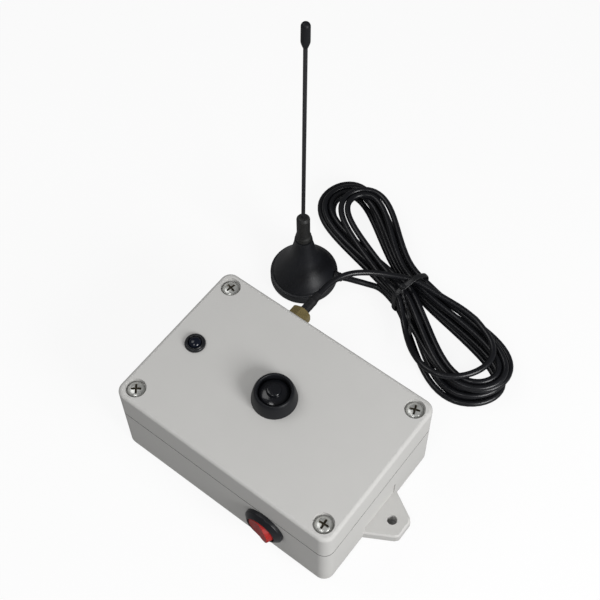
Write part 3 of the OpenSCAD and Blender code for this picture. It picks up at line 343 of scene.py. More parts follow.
class Bench:
    """Modelling steps that several pieces share."""

    # Degrees from which an edge is bevelled, and up to which shading runs on over it
    SHARP_FROM = 32.0
    SMOOTH_TO = 36.0
    # Above 50, large faces sway the shading more than small ones
    FACE_WEIGHT = 60
    # How near points are merged, in metres, in a new mesh and in a copied solid
    WELD = 1e-6
    COPY_WELD = 2e-6
    # Degrees within which the faces of a copied solid count as flat
    FLAT_TO = 0.8

    @staticmethod
    def clear() -> None:
        """Goes to object mode and deselects everything."""
        if bpy.context.object is not None and bpy.context.object.mode != "OBJECT":
            bpy.ops.object.mode_set(mode="OBJECT")
        bpy.ops.object.select_all(action="DESELECT")

    @staticmethod
    def take(piece: Piece) -> None:
        """Makes a piece the only selected and the active one.

        Args:
            piece: The piece.
        """
        Bench.clear()
        piece.select_set(True)
        bpy.context.view_layer.objects.active = piece

    @staticmethod
    def settle(piece: Piece) -> None:
        """Moves a piece's place, turn and scale into its mesh."""
        Bench.take(piece)
        bpy.ops.object.transform_apply(location=True, rotation=True, scale=True)

    @staticmethod
    def linked(name: str, data: bpy.types.ID) -> Piece:
        """Puts a new object into the scene.

        Args:
            name: The object's name.
            data: Its mesh, curve, lamp or camera.

        Returns:
            The object.
        """
        piece = bpy.data.objects.new(name, data)
        bpy.context.scene.collection.objects.link(piece)
        return piece

    @staticmethod
    def close_up(merge: float = 0.0, flatten: float = 0.0) -> None:
        """Closes the active piece's mesh and turns its faces outwards.

        Args:
            merge: How near points are merged, in metres, or 0 for none.
            flatten: The angle within which faces are joined, in degrees, or 0 for none.
        """
        bpy.ops.object.mode_set(mode="EDIT")
        bpy.ops.mesh.select_all(action="SELECT")
        if merge > 0.0:
            bpy.ops.mesh.remove_doubles(threshold=merge)
        if flatten > 0.0:
            bpy.ops.mesh.dissolve_limited(angle_limit=math.radians(flatten))
        bpy.ops.mesh.normals_make_consistent(inside=False)
        bpy.ops.object.mode_set(mode="OBJECT")

    @staticmethod
    def apply(piece: Piece, kind: str, **settings: object) -> None:
        """Adds a modifier and applies it.

        Args:
            piece: The piece.
            kind: The modifier's type.
            **settings: The modifier's properties.
        """
        Bench.take(piece)
        step = piece.modifiers.new(kind.lower(), kind)
        for key, value in settings.items():
            setattr(step, key, value)
        bpy.ops.object.modifier_apply(modifier=step.name)

    @staticmethod
    def set_down(piece: Piece, place: Point, axis: Axis = Axis.UP,
                 roll: float = 0.0) -> None:
        """Turns a piece that was made upright at the origin, and moves its mesh into place.

        Args:
            piece: The piece.
            place: Where its origin goes, in mm.
            axis: The direction of its height.
            roll: Its turn about its own height in degrees.
        """
        piece.rotation_euler = (0.0, 0.0, math.radians(roll))
        Bench.settle(piece)
        piece.rotation_euler = [math.radians(a) for a in axis.value]
        piece.location = [c * MM for c in place]
        Bench.settle(piece)

    @staticmethod
    def turned(name: str, rings: Sequence[Ring], place: Point = (0.0, 0.0, 0.0),
               axis: Axis = Axis.UP, sides: int = 72, closed: bool = True) -> Piece:
        """Turns a piece by extruding and resizing a circle.

        Args:
            name: The piece's name.
            rings: Radius and height of each ring in mm, in order along the surface.
            place: Where height 0 of the axis is, in mm.
            axis: The direction of height.
            sides: Number of sides.
            closed: True for a face over the first and the last ring. False for a piece
                with a bore, whose last ring joins the first.

        Returns:
            The finished object, with its place in its mesh.
        """
        Bench.clear()
        radius, height = rings[0]
        bpy.ops.mesh.primitive_circle_add(
            vertices=sides, radius=radius * MM, location=(0.0, 0.0, height * MM),
            fill_type="NGON" if closed else "NOTHING")
        piece = bpy.context.object
        piece.name = name
        Bench.settle(piece)
        bpy.ops.object.mode_set(mode="EDIT")
        bpy.ops.mesh.select_mode(type="VERT")
        bpy.ops.mesh.select_all(action="SELECT")
        for next_radius, next_height in rings[1:]:
            bpy.ops.mesh.extrude_region_move(
                TRANSFORM_OT_translate={"value": (0.0, 0.0, (next_height - height) * MM)})
            scale = next_radius / radius
            if abs(scale - 1.0) > 1e-9:
                bpy.ops.transform.resize(
                    value=(scale, scale, 1.0),
                    center_override=(0.0, 0.0, next_height * MM))
            radius, height = next_radius, next_height
        Bench.close_up(merge=0.0 if closed else Bench.WELD)
        Bench.set_down(piece, place, axis)
        return piece

    @staticmethod
    def soften(piece: Piece, width: float = 0.0, segments: int = 2) -> Piece:
        """Bevels a piece's sharp edges and smooths its shading.

        Args:
            piece: The piece.
            width: The bevel's width in mm, or 0 for none.
            segments: Number of steps in the bevel.

        Returns:
            The same piece.
        """
        if width > 0.0:
            Bench.apply(piece, "BEVEL", width=width * MM, segments=segments,
                        limit_method="ANGLE", angle_limit=math.radians(Bench.SHARP_FROM))
        Bench.take(piece)
        bpy.ops.object.shade_smooth_by_angle(angle=math.radians(Bench.SMOOTH_TO))
        Bench.apply(piece, "WEIGHTED_NORMAL", keep_sharp=True, weight=Bench.FACE_WEIGHT)
        return piece

    @staticmethod
    def copy_of(node: str, name: str) -> Piece:
        """Copies a solid's mesh and joins its loose triangles.

        Args:
            node: The solid's name.
            name: The copy's name.

        Returns:
            The copy, with flat areas made whole.
        """
        Bench.clear()
        piece = Bench.linked(name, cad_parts[node].data.copy())
        piece.data.materials.clear()
        Bench.take(piece)
        if piece.data.has_custom_normals:
            bpy.ops.mesh.customdata_custom_splitnormals_clear()
        Bench.close_up(merge=Bench.COPY_WELD, flatten=Bench.FLAT_TO)
        return piece

    @staticmethod
    def cut(piece: Piece, *tools: Piece, inlaid: bool = False) -> Piece:
        """Cuts tools out of a piece and removes them.

        Args:
            piece: The piece that is cut.
            *tools: The shapes that are taken away.
            inlaid: Whether the new faces take the tool's material.

        Returns:
            The same piece.
        """
        for tool in tools:
            Bench.apply(piece, "BOOLEAN", operation="DIFFERENCE", solver="EXACT", object=tool,
                        material_mode="TRANSFER" if inlaid else "INDEX")
            bpy.data.objects.remove(tool)
        return piece

    @staticmethod
    def join(name: str, *pieces: Piece) -> Piece:
        """Joins several objects into one.

        Args:
            name: The name of the result.
            *pieces: The objects.

        Returns:
            The joined object.
        """
        Bench.take(pieces[0])
        for piece in pieces:
            piece.select_set(True)
        bpy.ops.object.join()
        pieces[0].name = name
        return pieces[0]

    @staticmethod
    def block(name: str, low: Point, high: Point, taper: float = 1.0) -> Piece:
        """Adds a cuboid between two corners and tapers its underside.

        Args:
            name: The object's name.
            low: The lowest corner in mm.
            high: The highest corner in mm.
            taper: The size of the underside in proportion to the top.

        Returns:
            The block, with its place in its mesh.
        """
        Bench.clear()
        centre = [(a + b) / 2.0 * MM for a, b in zip(low, high)]
        bpy.ops.mesh.primitive_cube_add(size=1.0, location=centre)
        piece = bpy.context.object
        piece.name = name
        piece.scale = [(b - a) * MM for a, b in zip(low, high)]
        Bench.settle(piece)
        if taper != 1.0:
            Bench.narrow(piece, (0.0, 0.0, -1.0), (taper, taper, 1.0),
                         (centre[0], centre[1], low[2] * MM))
        return piece

    @staticmethod
    def narrow(piece: Piece, side: Point, scale: Point, centre: Point) -> None:
        """Resizes the faces that look one way.

        Args:
            piece: The piece.
            side: The direction in which they look.
            scale: Their new size in proportion to the old.
            centre: The point that stays where it is, in metres.
        """
        Bench.take(piece)
        bpy.ops.object.mode_set(mode="EDIT")
        bpy.ops.mesh.select_mode(type="FACE")
        bpy.ops.mesh.select_all(action="DESELECT")
        bpy.ops.object.mode_set(mode="OBJECT")
        for face in piece.data.polygons:
            face.select = face.normal.dot(Vector(side)) > 0.9
        bpy.ops.object.mode_set(mode="EDIT")
        bpy.ops.transform.resize(value=scale, center_override=centre)
        bpy.ops.object.mode_set(mode="OBJECT")

    @staticmethod
    def curve(name: str, points: Sequence[Sequence[float]]) -> bpy.types.Curve:
        """Makes a curve of one open spline with closed ends.

        Args:
            name: The curve's name.
            points: Its points in metres.

        Returns:
            The curve.
        """
        data = bpy.data.curves.new(name, "CURVE")
        data.dimensions = "3D"
        data.use_fill_caps = True
        line = data.splines.new("POLY")
        line.points.add(len(points) - 1)
        for spot, point in zip(line.points, points):
            spot.co = (*point, 1.0)
        return data

    @staticmethod
    def swept(name: str, points: Sequence[Point], wide: float, thick: float,
              twist: float = 0.0, sides: int = 12) -> Piece:
        """Sweeps an oval along a path.

        Args:
            name: The object's name.
            points: The path in mm.
            wide: The oval's width in mm.
            thick: The oval's thickness in mm.
            twist: Turn of the oval from end to end in degrees.
            sides: Number of sides of the oval.

        Returns:
            The mesh.
        """
        Bench.clear()
        bpy.ops.curve.primitive_nurbs_circle_add(radius=0.5 * MM)
        oval = bpy.context.object
        oval.scale = (wide, thick, 1.0)
        Bench.settle(oval)
        oval.data.resolution_u = max(1, sides // 4)
        data = Bench.curve(name, [[c * MM for c in point] for point in points])
        data.bevel_mode = "OBJECT"
        data.bevel_object = oval
        for i, spot in enumerate(data.splines[0].points):
            spot.tilt = math.radians(twist) * i / (len(points) - 1)
        Bench.take(Bench.linked(name, data))
        bpy.ops.object.convert(target="MESH")
        bpy.data.objects.remove(oval)
        Bench.close_up(merge=Bench.WELD)
        return bpy.context.object


class Profile:
    """Lists of rings for turned pieces."""

    # Where a thread's ridge rises, is full, falls and ends, as shares of its pitch
    RIDGE = (0.05, 0.45, 0.6, 0.98)

    @staticmethod
    def smooth(points: Sequence[Ring], steps: int = 4) -> list[Ring]:
        """Passes a smooth curve through rings."""
        return [(p.x, p.y) for p in smooth([Vector(p) for p in points], steps)]

    @staticmethod
    def thread(radius: float, start: float, end: float, pitch: float,
               depth: float) -> list[Ring]:
        """Gives the rings of a screw thread's ridges.

        Args:
            radius: The outer radius in mm.
            start: The height of the thread's start.
            end: The height of its end.
            pitch: The distance between two ridges.
            depth: The depth of the grooves.

        Returns:
            The rings from start to end.
        """
        count = max(1, int(abs(end - start) / pitch))
        step = (end - start) / count
        rings: list[Ring] = []
        for i in range(count):
            low = start + i * step
            rise, full, fall, foot = (low + share * step for share in Profile.RIDGE)
            rings += [(radius - depth, rise), (radius, full), (radius, fall),
                      (radius - depth, foot)]
        return rings

    @staticmethod
    def arc(centre: Ring, radius: float, start: float, end: float, steps: int) -> list[Ring]:
        """Gives rings on an arc of the profile.

        Args:
            centre: The arc's centre.
            radius: The arc's radius.
            start: The start angle in degrees, counted from the outward direction.
            end: The end angle.
            steps: Number of steps.

        Returns:
            The rings.
        """
        rings: list[Ring] = []
        for i in range(steps + 1):
            a = math.radians(start + (end - start) * i / steps)
            rings.append((centre[0] + radius * math.cos(a), centre[1] + radius * math.sin(a)))
        return rings


def smooth(points: Sequence[Vector], steps: int) -> list[Vector]:
    """Passes a smooth curve through points.

    Args:
        points: The points.
        steps: Steps between two points.

    Returns:
        The curve's points.
    """
    curve: list[Vector] = []
    last = len(points) - 1
    for i in range(last):
        a, b = points[max(i - 1, 0)], points[i]
        c, d = points[i + 1], points[min(i + 2, last)]
        for k in range(steps):
            u = k / steps
            curve.append(0.5 * (2 * b + (c - a) * u + (2 * a - 5 * b + 4 * c - d) * u * u
                                + (3 * b - a - 3 * c + d) * u ** 3))
    curve.append(points[last].copy())
    return curve


@dataclass
class Assembly:
    """A group of pieces that is made and reported together."""

    def fit(self, piece: Piece, finish: Finish, slot: str, *nodes: str,
            body: Body = Body.TRANSMITTER) -> Piece:
        """Dresses a new piece and lets it stand for its solids.

        Args:
            piece: The new piece.
            finish: Its finish.
            slot: Not used.
            *nodes: The solids that it replaces.
            body: The body that it rides on.

        Returns:
            The same piece.
        """
        if not piece.data.materials:
            piece.data.materials.append(finish.material())
        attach(piece, body.value)
        if nodes:
            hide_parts(*nodes)
        LOG.info("%s: %s", type(self).__name__, piece.name)
        return piece

    def refine(self, node: str, name: str, finish: Finish, slot: str, edge: float,
               segments: int = 2, body: Body = Body.TRANSMITTER) -> None:
        """Puts a copy with rounded edges in the place of a solid."""
        piece = Bench.soften(Bench.copy_of(node, name), edge, segments)
        self.fit(piece, finish, slot, node, body=body)

    def dress(self, node: str, finish: Finish) -> None:
        """Gives a solid that stays its finish.

        Args:
            node: The solid's name.
            finish: Its finish.
        """
        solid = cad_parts[node]
        solid.data.materials.clear()
        solid.data.materials.append(finish.material())
        LOG.info("%s: %s keeps its solid", type(self).__name__, node)


# Studio


@dataclass
class Studio:
    """Camera, lamps, background and floor.

    Sizes are metres, apart from the focal length and the sensor, which are millimetres.
    """

    azimuth: float = 38.82
    elevation: float = 57.92
    roll: float = -1.39
    distance: float = 0.4835
    aside: float = 0.0080
    above: float = 0.0616
    focal: float = 72.57
    sensor: float = 36.0
    clip: float = 0.01
    shift: Pair = (0.00433, -0.01717)
    fill: float = 0.30
    mirror: float = 0.10
    aim: Point = (0.0, 0.02, 0.03)
    lamps: tuple[tuple[str, Point, float, float], ...] = (
        ("key", (0.56, -0.07, 0.33), 0.27, 3.3), ("side", (-0.50, -0.12, 0.80), 0.50, 1.8),
        ("front", (0.10, -0.41, 0.62), 0.19, 0.67))
    floor_side: float = 4.0
    floor_z: float = -0.0003
    floor_grey: float = 0.33
    floor_glow: float = 0.62
    floor_shade: float = 0.30
    dark_strip: Pair = (0.0605, 0.004)

    def camera(self) -> None:
        """Places the camera as the photograph was taken."""
        az, el, roll = (math.radians(a) for a in (self.azimuth, self.elevation, self.roll))
        back = Vector((math.sin(az) * math.cos(el), -math.cos(az) * math.cos(el), math.sin(el)))
        level = (-back).cross(Vector((0.0, 0.0, 1.0))).normalized()
        upright = level.cross(-back)
        right = math.cos(roll) * level + math.sin(roll) * upright
        up = -math.sin(roll) * level + math.cos(roll) * upright
        place = back * self.distance + right * self.aside + up * self.above
        data = bpy.data.cameras.new("camera")
        data.lens = self.focal
        data.sensor_width = self.sensor
        data.shift_x, data.shift_y = self.shift
        data.clip_start = self.clip
        camera = Bench.linked("camera", data)
        turn = Matrix((right, up, back)).transposed().to_4x4()
        camera.matrix_world = Matrix.Translation(place) @ turn
        bpy.context.scene.camera = camera

    def world(self) -> None:
        """Sets a white background, a plain fill light and a darker mirrored room."""
        world = bpy.data.worlds.new("studio")
        bpy.context.scene.world = world
        world.use_nodes = True
        graph = Graph(world.node_tree)
        graph.tree.nodes.clear()
        paths = graph.add("LightPath")
        room = graph.add("Mix", {"A": self.fill, "B": self.mirror,
                                 "Factor": paths.outputs["Is Glossy Ray"]}, data_type="FLOAT")
        seen = graph.add("Mix", {"A": room.outputs["Result"], "B": 1.0,
                                 "Factor": paths.outputs["Is Camera Ray"]}, data_type="FLOAT")
        light = graph.add("Background", {"Color": WHITE, "Strength": seen.outputs["Result"]})
        graph.add("OutputWorld", {"Surface": light.outputs["Background"]})

    def lamp(self, name: str, place: Point, size: float, power: float) -> None:
        """Adds a soft square lamp that looks at the object.

        Args:
            name: The lamp's name.
            place: Its place in metres.
            size: Its side in metres.
            power: Its power in watts.
        """
        data = bpy.data.lights.new(name, "AREA")
        data.size = size
        data.energy = power
        look = Vector(self.aim) - Vector(place)
        turn = look.to_track_quat("-Z", "Y").to_matrix().to_4x4()
        Bench.linked(name, data).matrix_world = Matrix.Translation(place) @ turn

    def floor_material(self) -> Material:
        """Makes the floor's white, which keeps a soft shadow.

        In a strip under the enclosure it doesn't glow, so the ear holes stay dark.

        Returns:
            The material.
        """
        material = bpy.data.materials.new("floor_white")
        material.use_nodes = True
        graph = Graph(material.node_tree)
        shader = graph.tree.nodes["Principled BSDF"]
        grey = self.floor_grey
        graph.feed(shader, {"Base Color": (grey, grey, grey, 1.0), "Roughness": 1.0,
                            "Specular IOR Level": 0.0})
        place = graph.add("TexCoord").outputs["Object"]
        halves = graph.add("VectorMath", {0: place}, operation="ABSOLUTE")
        apart = graph.add("SeparateXYZ", {"Vector": halves.outputs["Vector"]})
        past_x, past_y = (
            graph.add("Math", {0: apart.outputs[side], 1: edge}, operation="GREATER_THAN")
            for side, edge in zip("XY", self.dark_strip))
        outside = graph.add("Math", {0: past_x.outputs["Value"], 1: past_y.outputs["Value"]},
                            operation="MAXIMUM")
        camera_ray = graph.add("LightPath").outputs["Is Camera Ray"]
        share = graph.add("Math", {0: camera_ray, 1: outside.outputs["Value"]},
                          operation="MULTIPLY").outputs["Value"]
        glow = graph.add("Emission", {"Strength": self.floor_glow})
        lit = graph.add("AddShader", {0: shader.outputs["BSDF"], 1: glow.outputs["Emission"]})
        seen = graph.add("MixShader", {"Fac": share, 1: shader.outputs["BSDF"],
                                       2: lit.outputs["Shader"]})
        dimmed = graph.add("Mix", {"B": 1.0 - self.floor_shade, "Factor": share},
                           data_type="FLOAT")
        mix = graph.add("MixShader", {"Fac": dimmed.outputs["Result"], 1: seen.outputs["Shader"],
                                      2: graph.add("Emission").outputs["Emission"]})
        graph.feed(graph.tree.nodes["Material Output"], {"Surface": mix.outputs["Shader"]})
        return material

    def floor(self) -> None:
        """Lays the floor just under the object."""
        Bench.clear()
        bpy.ops.mesh.primitive_plane_add(size=self.floor_side, location=(0.0, 0.0, self.floor_z))
        floor = bpy.context.object
        floor.name = "floor"
        floor.data.materials.append(self.floor_material())

    def build(self) -> None:
        """Sets up the whole studio."""
        bpy.context.scene.view_settings.view_transform = "Standard"
        self.camera()
        self.world()
        self.floor()
        for name, place, size, power in self.lamps:
            self.lamp(name, place, size, power)
        LOG.info("Studio: camera, background, floor and lamps")


# Cable

# In a loop, these scale c * c * k and r * r * (1 - r) to be 1 at their greatest
SWELL_PEAK = 2.598
BELLY_PEAK = 6.75


@dataclass(frozen=True)
class Lobe:
    """How the loops of one layer lie on one side of the tie.

    The reach is along the hank, and the swell, belly and end are across it, in mm. The swell
    parts a loop's two runs, the belly shifts both of them sideways, the end shifts the far
    end, and a larger ease makes it more pointed.
    """

    reach: float
    swell: float
    belly: float
    end: float
    ease: float


@dataclass
class AntennaLead(Assembly):
    """The coaxial lead from the antenna's foot through the hank to the connector.

    The hank is worked out in its own plan, along it and across it from its waist. Each of
    its layers has two turns, and the last one has the part of a turn that is left over.
    """

    diameter: float = 2.6
    turns: float = 8.0
    last_part: float = 0.375
    layer: float = 3.1
    hank_at: Pair = (1.5, 88.0)
    hank_turn: float = -17.6
    right: tuple[Lobe, ...] = (
        Lobe(60.0, 12.6, -3.5, -0.8, 1.35), Lobe(60.0, 13.6, -3.0, 0.3, 1.35),
        Lobe(59.0, 12.6, -0.3, 2.2, 1.35), Lobe(60.0, 12.8, -1.8, 0.0, 1.35),
        Lobe(49.8, 12.8, -4.2, -2.0, 1.35))
    left: tuple[Lobe, ...] = (
        Lobe(63.1, 11.2, 1.1, 6.8, 1.12), Lobe(63.2, 12.1, 1.6, 6.1, 1.05),
        Lobe(61.1, 12.6, 1.9, 4.3, 1.25), Lobe(52.9, 10.0, 3.0, 8.2, 1.12))
    waist_half: float = 7.3
    waist_step: float = 3.3
    left_step: float = 2.7
    right_step: float = 2.7
    tie_s: float = 2.5
    band_size: Pair = (2.4, 0.65)
    end_size: Pair = (1.5, 0.75)
    end_twist: float = 1500.0
    knot_at: Pair = (2.5, -5.4)
    lift: float = 1.35
    lift_reach: float = 8.0
    drape: float = 4.5
    drape_to: float = 0.13
    climb: Pair = (0.09, 0.17)
    rings: int = 96
    angle_step: float = 0.05
    crimp: Point = (JACK_X, 51.5, JACK_Z)
    foot: Point = (FOOT_X, FOOT_Y, RELIEF_Z)
    relief_turn: float = RELIEF_TURN
    relief_to: float = 16.9
    lead_route: tuple[Point, ...] = (
        (-21.8, 56, 20), (-21.6, 61, 20), (-20.3, 67.5, 19.6), (-17, 73.8, 18.7),
        (-11, 79.9, 17.1), (-4, 84.6, 15.6), (2.6, 87.8, 15), (7.9, 88.7, 14.9),
        (16.8, 89.1, 14.2), (27.2, 89.4, 13.8))
    tail_route: tuple[Point, ...] = (
        (-18.4, 79.2, 4.4), (-14.6, 81.2, 3.3), (-10.4, 82.9, 2.6), (-5.9, 82.7, 2.35))

    def loop(self, angle: float, t: float) -> Vector:
        """Gives a point of a layer's outermost loop.

        Args:
            angle: The angle round the hank in degrees.
            t: The number of turns from the hank's start, which tells the layer.

        Returns:
            The point along and across the hank, in mm.
        """
        c, k = math.cos(math.radians(angle)), math.sin(math.radians(angle))
        pair = int(t + 1e-9) // 2
        lobe = self.right[pair] if c > 0.0 else self.left[min(pair, len(self.left) - 1)]
        r = abs(c) ** lobe.ease
        return Vector((math.copysign(lobe.reach * r, c),
                       SWELL_PEAK * c * c * k * lobe.swell + self.waist_half * k ** 3
                       + BELLY_PEAK * lobe.belly * r * r * (1.0 - r) + lobe.end * r * r))

    def inset(self, t: float) -> float:
        """Gives how many steps a turn lies inside the outermost loop.

        Args:
            t: The number of turns from the hank's start.

        Returns:
            The number of steps.
        """
        quarter = self.turns / 4.0
        if t > self.turns:
            return self.turns - t
        q = t - 2.0 * quarter * math.floor(t / (2.0 * quarter))
        return q if q <= quarter else 2.0 * quarter - q

    def level(self, t: float) -> float:
        """Gives the layer that a turn lies in.

        The last part of a turn droops beside the others and then climbs over them.

        Args:
            t: The number of turns from the hank's start.

        Returns:
            The layer, from 0 to 4.
        """
        quarter = self.turns / 4.0
        total = 0.0
        for change in (quarter, 2.0 * quarter, 3.0 * quarter):
            total += self.ease_in((t - change) * 2.0 + 0.5)
        over = t - self.turns
        if over > 0.0:
            low, high = self.climb
            total += self.ease_in((over - low) / (high - low))
            droop = math.sin(math.pi * min(over / self.drape_to, 1.0))
            total -= self.drape / self.layer * droop * droop
        return total

    def ease_in(self, u: float) -> float:
        """Rises smoothly from 0 to 1."""
        u = min(max(u, 0.0), 1.0)
        return u * u * (3.0 - 2.0 * u)

    def wound(self, t: float) -> Vector:
        """Gives a point of the wound lead.

        Args:
            t: The number of turns from the hank's start.

        Returns:
            The point in the part's frame, in mm.
        """
        angle = 270.0 + 360.0 * t
        c = math.cos(math.radians(angle))
        ahead, behind = (self.loop(angle + way, t) for way in (self.angle_step, -self.angle_step))
        along = (ahead - behind).normalized()
        side_step = self.right_step if c > 0.0 else self.left_step
        step = self.waist_step + (side_step - self.waist_step) * c * c
        w = self.loop(angle, t) + Vector((-along.y, along.x)) * self.inset(t) * step
        rise = self.lift * math.exp(-(((w.x - self.tie_s) / self.lift_reach) ** 2))
        return self.in_frame((w.x, w.y, self.diameter / 2.0 + self.layer * self.level(t) + rise))

    def in_frame(self, point: Point) -> Vector:
        """Moves a point from the hank's own plan into the part's frame.

        Args:
            point: Along the hank, across it and up, in mm.

        Returns:
            The point in the part's frame, in mm.
        """
        co, si = math.cos(math.radians(self.hank_turn)), math.sin(math.radians(self.hank_turn))
        return Vector((self.hank_at[0] + point[0] * co - point[1] * si,
                       self.hank_at[1] + point[0] * si + point[1] * co, point[2]))

    def path(self) -> list[Vector]:
        """Gives the whole lead's line, from the antenna's foot to the connector.

        Returns:
            The points in mm.
        """
        end = self.turns + self.last_part
        hank = [self.wound(i / self.rings) for i in range(round(end * self.rings) + 1)]
        out = Vector((math.cos(math.radians(self.relief_turn)),
                      math.sin(math.radians(self.relief_turn)), 0.0))
        mouth = Vector(self.foot) + self.relief_to * out
        tail = [mouth] + smooth([mouth + self.diameter * out]
                                + [Vector(p) for p in self.tail_route] + [hank[0]], 4)
        lead = [Vector(self.crimp)] + smooth(
            [Vector(p) for p in self.lead_route] + [hank[-1]], 5)
        return tail[:-1] + hank + lead[-2::-1]

    def tie(self) -> Piece:
        """Makes the twist tie: a flat band round the waist with its twisted end.

        Returns:
            The tie.
        """
        around = [(-9.3, 6.5), (-9.4, 11.5), (-8.5, 13.7), (-4.2, 15.4), (-0.6, 16.6), (2.2, 16.75),
                  (5.0, 15.4), (7.3, 13.6), (7.9, 11.5), (7.9, 6.5), (7.9, 2.5), (6.7, 0.85),
                  (3.0, 0.6), (-4.0, 0.6), (-8.0, 0.85), (-9.3, 2.5), (-9.3, 6.5)]
        band = smooth([Vector((self.tie_s, n, z)) for n, z in around], 4)
        strap = Bench.swept("tie_band", [self.in_frame(p) for p in band], *self.band_size,
                            sides=16)
        route = [Vector(p) for p in ((*self.knot_at, 15.6), (3.1, -5.7, 16.6), (5.6, -7.6, 16.2),
                                     (8.2, -8.4, 14.4), (13.0, -10.2, 13.6), (21.4, -15.5, 12.9))]
        end = Bench.swept("tie_end", [self.in_frame(p) for p in smooth(route, 8)],
                          *self.end_size, twist=self.end_twist)
        knot = Bench.turned("tie_knot", [(0.5, 15.0), (1.2, 15.1), (1.35, 15.6), (1.1, 16.1),
                                         (1.3, 16.6), (1.0, 17.1), (0.4, 17.3)], sides=20)
        Bench.set_down(knot, tuple(self.in_frame((*self.knot_at, 0.0))))
        tie = Bench.soften(Bench.join("tie", strap, end, knot))
        return self.fit(tie, TIE_GREY, "black_rubber", "cable_tie")

    def build(self, boot: Piece, plug: Piece) -> None:
        """Makes the lead as one curve, and its tie.

        Args:
            boot: The sleeve on the connector; not used.
            plug: The connector's plug; not used.
        """
        points = [p * MM for p in self.path()]
        data = Bench.curve("coaxial_lead", points)
        data.bevel_depth = self.diameter / 2.0 * MM
        data.bevel_resolution = 4
        data.splines[0].use_smooth = True
        lead = Bench.linked("coaxial_lead", data)
        self.fit(lead, JACKET_BLACK, "cable_jacket", "antenna_lead", "antenna_lead_hank",
                 "antenna_lead_tail")
        tie = self.tie()


# Enclosure and its controls


@dataclass
class Enclosure(Assembly):
    """Base, lid, sealing cord and the four lid screws."""

    screw_x: float = 44.0
    screw_y: float = 28.0
    seat: float = 37.4
    edge: float = 0.15
    groove: float = 0.45
    seam_z: float = 25.0
    half_x: float = 50.0
    half_y: float = 34.0
    corner: float = 4.4
    collar_x: float = 53.0
    collar_y: float = 37.0
    core_reach: float = 12.0
    cross_low: Point = (-2.45, -0.5, 0.8)
    cross_high: Point = (2.45, 0.5, 2.6)
    cross_taper: float = 0.5
    turns: tuple[float, ...] = (20.0, -12.0, 38.0, 5.0)

    def screw(self) -> Piece:
        """Models one pan-head screw with a tapered cross recess, its seat at height 0.

        Returns:
            The screw.
        """
        rings = [(0.4, -24.0), (1.1, -23.3)]
        rings += Profile.thread(1.5, -23.0, -5.0, 1.0, 0.28)
        rings += [(1.42, -4.8), (1.42, 0.0), (3.25, 0.0), (3.4, 0.12), (3.4, 0.62)]
        rings += Profile.smooth([(3.38, 0.85), (3.15, 1.3), (2.6, 1.72), (1.9, 1.98),
                                 (1.0, 2.14), (0.3, 2.18)], 2)
        screw = Bench.turned("lid_screw", rings, sides=40)
        screw.data.materials.append(PLATED_ZINC.material())
        for turn in (0.0, 90.0):
            arm = Bench.block("arm", self.cross_low, self.cross_high, self.cross_taper)
            arm.data.materials.append(CROSS_SHADE.material())
            Bench.set_down(arm, (0.0, 0.0, 0.0), roll=turn)
            Bench.cut(screw, arm, inlaid=True)
        return Bench.soften(screw)

    def screws(self) -> None:
        """Copies the screw to the four corners."""
        first = self.screw()
        ways = ((1, 1), (-1, 1), (-1, -1), (1, -1))
        for i, (way, turn) in enumerate(zip(ways, self.turns)):
            screw = Bench.linked(f"lid_screw_{i + 1}", first.data.copy())
            Bench.set_down(screw, (way[0] * self.screw_x, way[1] * self.screw_y, self.seat),
                           roll=turn)
            self.fit(screw, PLATED_ZINC, "zinc_steel", "lid_screws")
        bpy.data.objects.remove(first)

    def seam(self) -> Piece:
        """Makes the thin collar that is cut away along the parting line.

        Returns:
            The collar.
        """
        half = self.groove / 2.0
        collar = Bench.block("seam", (-self.collar_x, -self.collar_y, self.seam_z - half),
                             (self.collar_x, self.collar_y, self.seam_z + half))
        x, y = self.half_x - self.groove, self.half_y - self.groove
        core = Bench.block("core", (-x, -y, self.seam_z - self.core_reach),
                           (x, y, self.seam_z + self.core_reach))
        Bench.apply(core, "BEVEL", width=(self.corner - self.groove) * MM, segments=10)
        Bench.cut(collar, core)
        collar.data.materials.clear()
        collar.data.materials.append(SEAM_SHADE.material())
        return collar

    def build(self) -> None:
        """Makes the enclosure."""
        for node, name in (("enclosure_base", "base_shell"), ("enclosure_lid", "lid_shell")):
            shell = Bench.copy_of(node, name)
            shell.data.materials.append(CASE_GREY.material())
            Bench.cut(shell, self.seam(), inlaid=True)
            self.fit(Bench.soften(shell, self.edge), CASE_GREY, "grey_abs", node)
        self.dress("lid_gasket", GASKET)
        self.screws()


